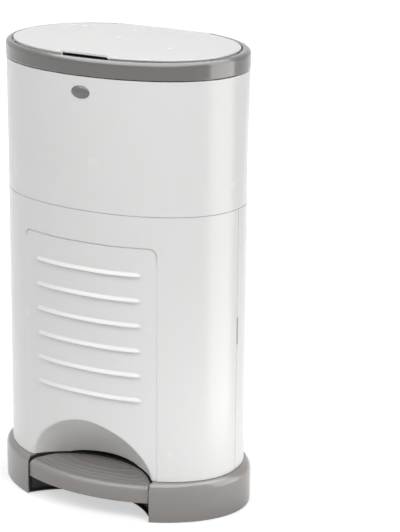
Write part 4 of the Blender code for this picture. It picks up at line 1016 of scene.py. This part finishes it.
def build_world():
    """White for what is seen and mirrored, and a dimmer level for what lights the bin."""
    world = bpy.data.worlds.new("studio")
    bpy.context.scene.world = world
    world.use_nodes = True
    tree = world.node_tree
    ground = tree.nodes["Background"]
    ground.inputs["Color"].default_value = (1.0, 1.0, 1.0, 1.0)
    seen = add_node(tree, "ShaderNodeMapRange", {"To Min": WORLD_LIGHT, "To Max": 1.0})
    tree.links.new(direct_ray(tree), seen.inputs["Value"])
    tree.links.new(seen.outputs["Result"], ground.inputs["Strength"])


def area_light(name, at, towards, size, radiance, diffuse=True, glossy=True,
               colour=(1.0, 1.0, 1.0)):
    """A rectangular soft light of a given brightness, seen by diffuse or glossy rays or both."""
    light = bpy.data.lights.new(name, "AREA")
    light.shape = "RECTANGLE"
    light.size, light.size_y = size
    light.energy = radiance * math.pi * size[0] * size[1]
    light.color = colour
    item = bpy.data.objects.new(name, light)
    item.location = at
    aim = Vector(towards) - Vector(at)
    item.rotation_mode = "QUATERNION"
    item.rotation_quaternion = aim.to_track_quat("-Z", "Y")
    item.visible_camera = False
    item.visible_diffuse = diffuse
    item.visible_glossy = glossy
    bpy.context.scene.collection.objects.link(item)


def build_lights():
    """Soft fills all round, two low bounces, and two cards that only show in gloss."""
    target = (0.0, 0.0, 0.35)
    area_light("top_softbox", (-0.5, -0.6, 2.6), (0.0, 0.0, 0.4), (2.4, 2.4), 0.30)
    area_light("over_softbox", (0.0, -0.45, 2.7), (0.0, -0.45, 0.0), (3.6, 4.6), 4.0,
               diffuse=False)
    area_light("front_softbox", (0.1, -1.0, 1.75), (0.0, 0.0, 0.5), (1.0, 0.8), 1.65, glossy=False)
    area_light("right_fill", (2.1, -0.9, 2.0), target, (1.2, 1.4), 6.6, glossy=False)
    area_light("left_fill", (-1.5, -1.8, 2.0), target, (1.2, 1.4), 4.3, glossy=False)
    area_light("back_fill", (-0.5, 2.4, 0.75), target, (2.0, 1.1), 4.0, glossy=False)
    area_light("front_bounce", (0.0, -0.33, 0.003), (0.0, -0.33, 1.0), (0.90, 0.32), 0.40,
               glossy=False)
    area_light("right_bounce", (0.42, 0.0, 0.003), (0.42, 0.0, 1.0), (0.34, 0.90), 1.10,
               glossy=False)
    area_light("side_card", (0.45, 0.05, 0.50), (0.0, 0.05, 0.50), (0.30, 0.98), 3.6,
               diffuse=False, colour=(1.0, 0.975, 0.93))


def build_camera():
    """The camera of the photograph."""
    data = bpy.data.cameras.new("photo_camera")
    data.lens = CAMERA_LENS
    data.sensor_width = SENSOR_WIDTH
    data.clip_start, data.clip_end = 0.05, 50.0
    camera = bpy.data.objects.new("photo_camera", data)
    turn = Matrix((CAMERA_RIGHT, CAMERA_UP, CAMERA_BACK)).transposed().to_4x4()
    camera.matrix_world = Matrix.Translation(CAMERA_AT) @ turn
    bpy.context.scene.collection.objects.link(camera)
    bpy.context.scene.camera = camera


bpy.context.scene.view_settings.view_transform = "Standard"
dress_frame()
build_camera()
build_door()
build_rear()
build_upper()
build_button()
build_base()
build_pedal()
build_rim()
build_hinge()
build_lid()
build_stage()
build_world()
build_lights()
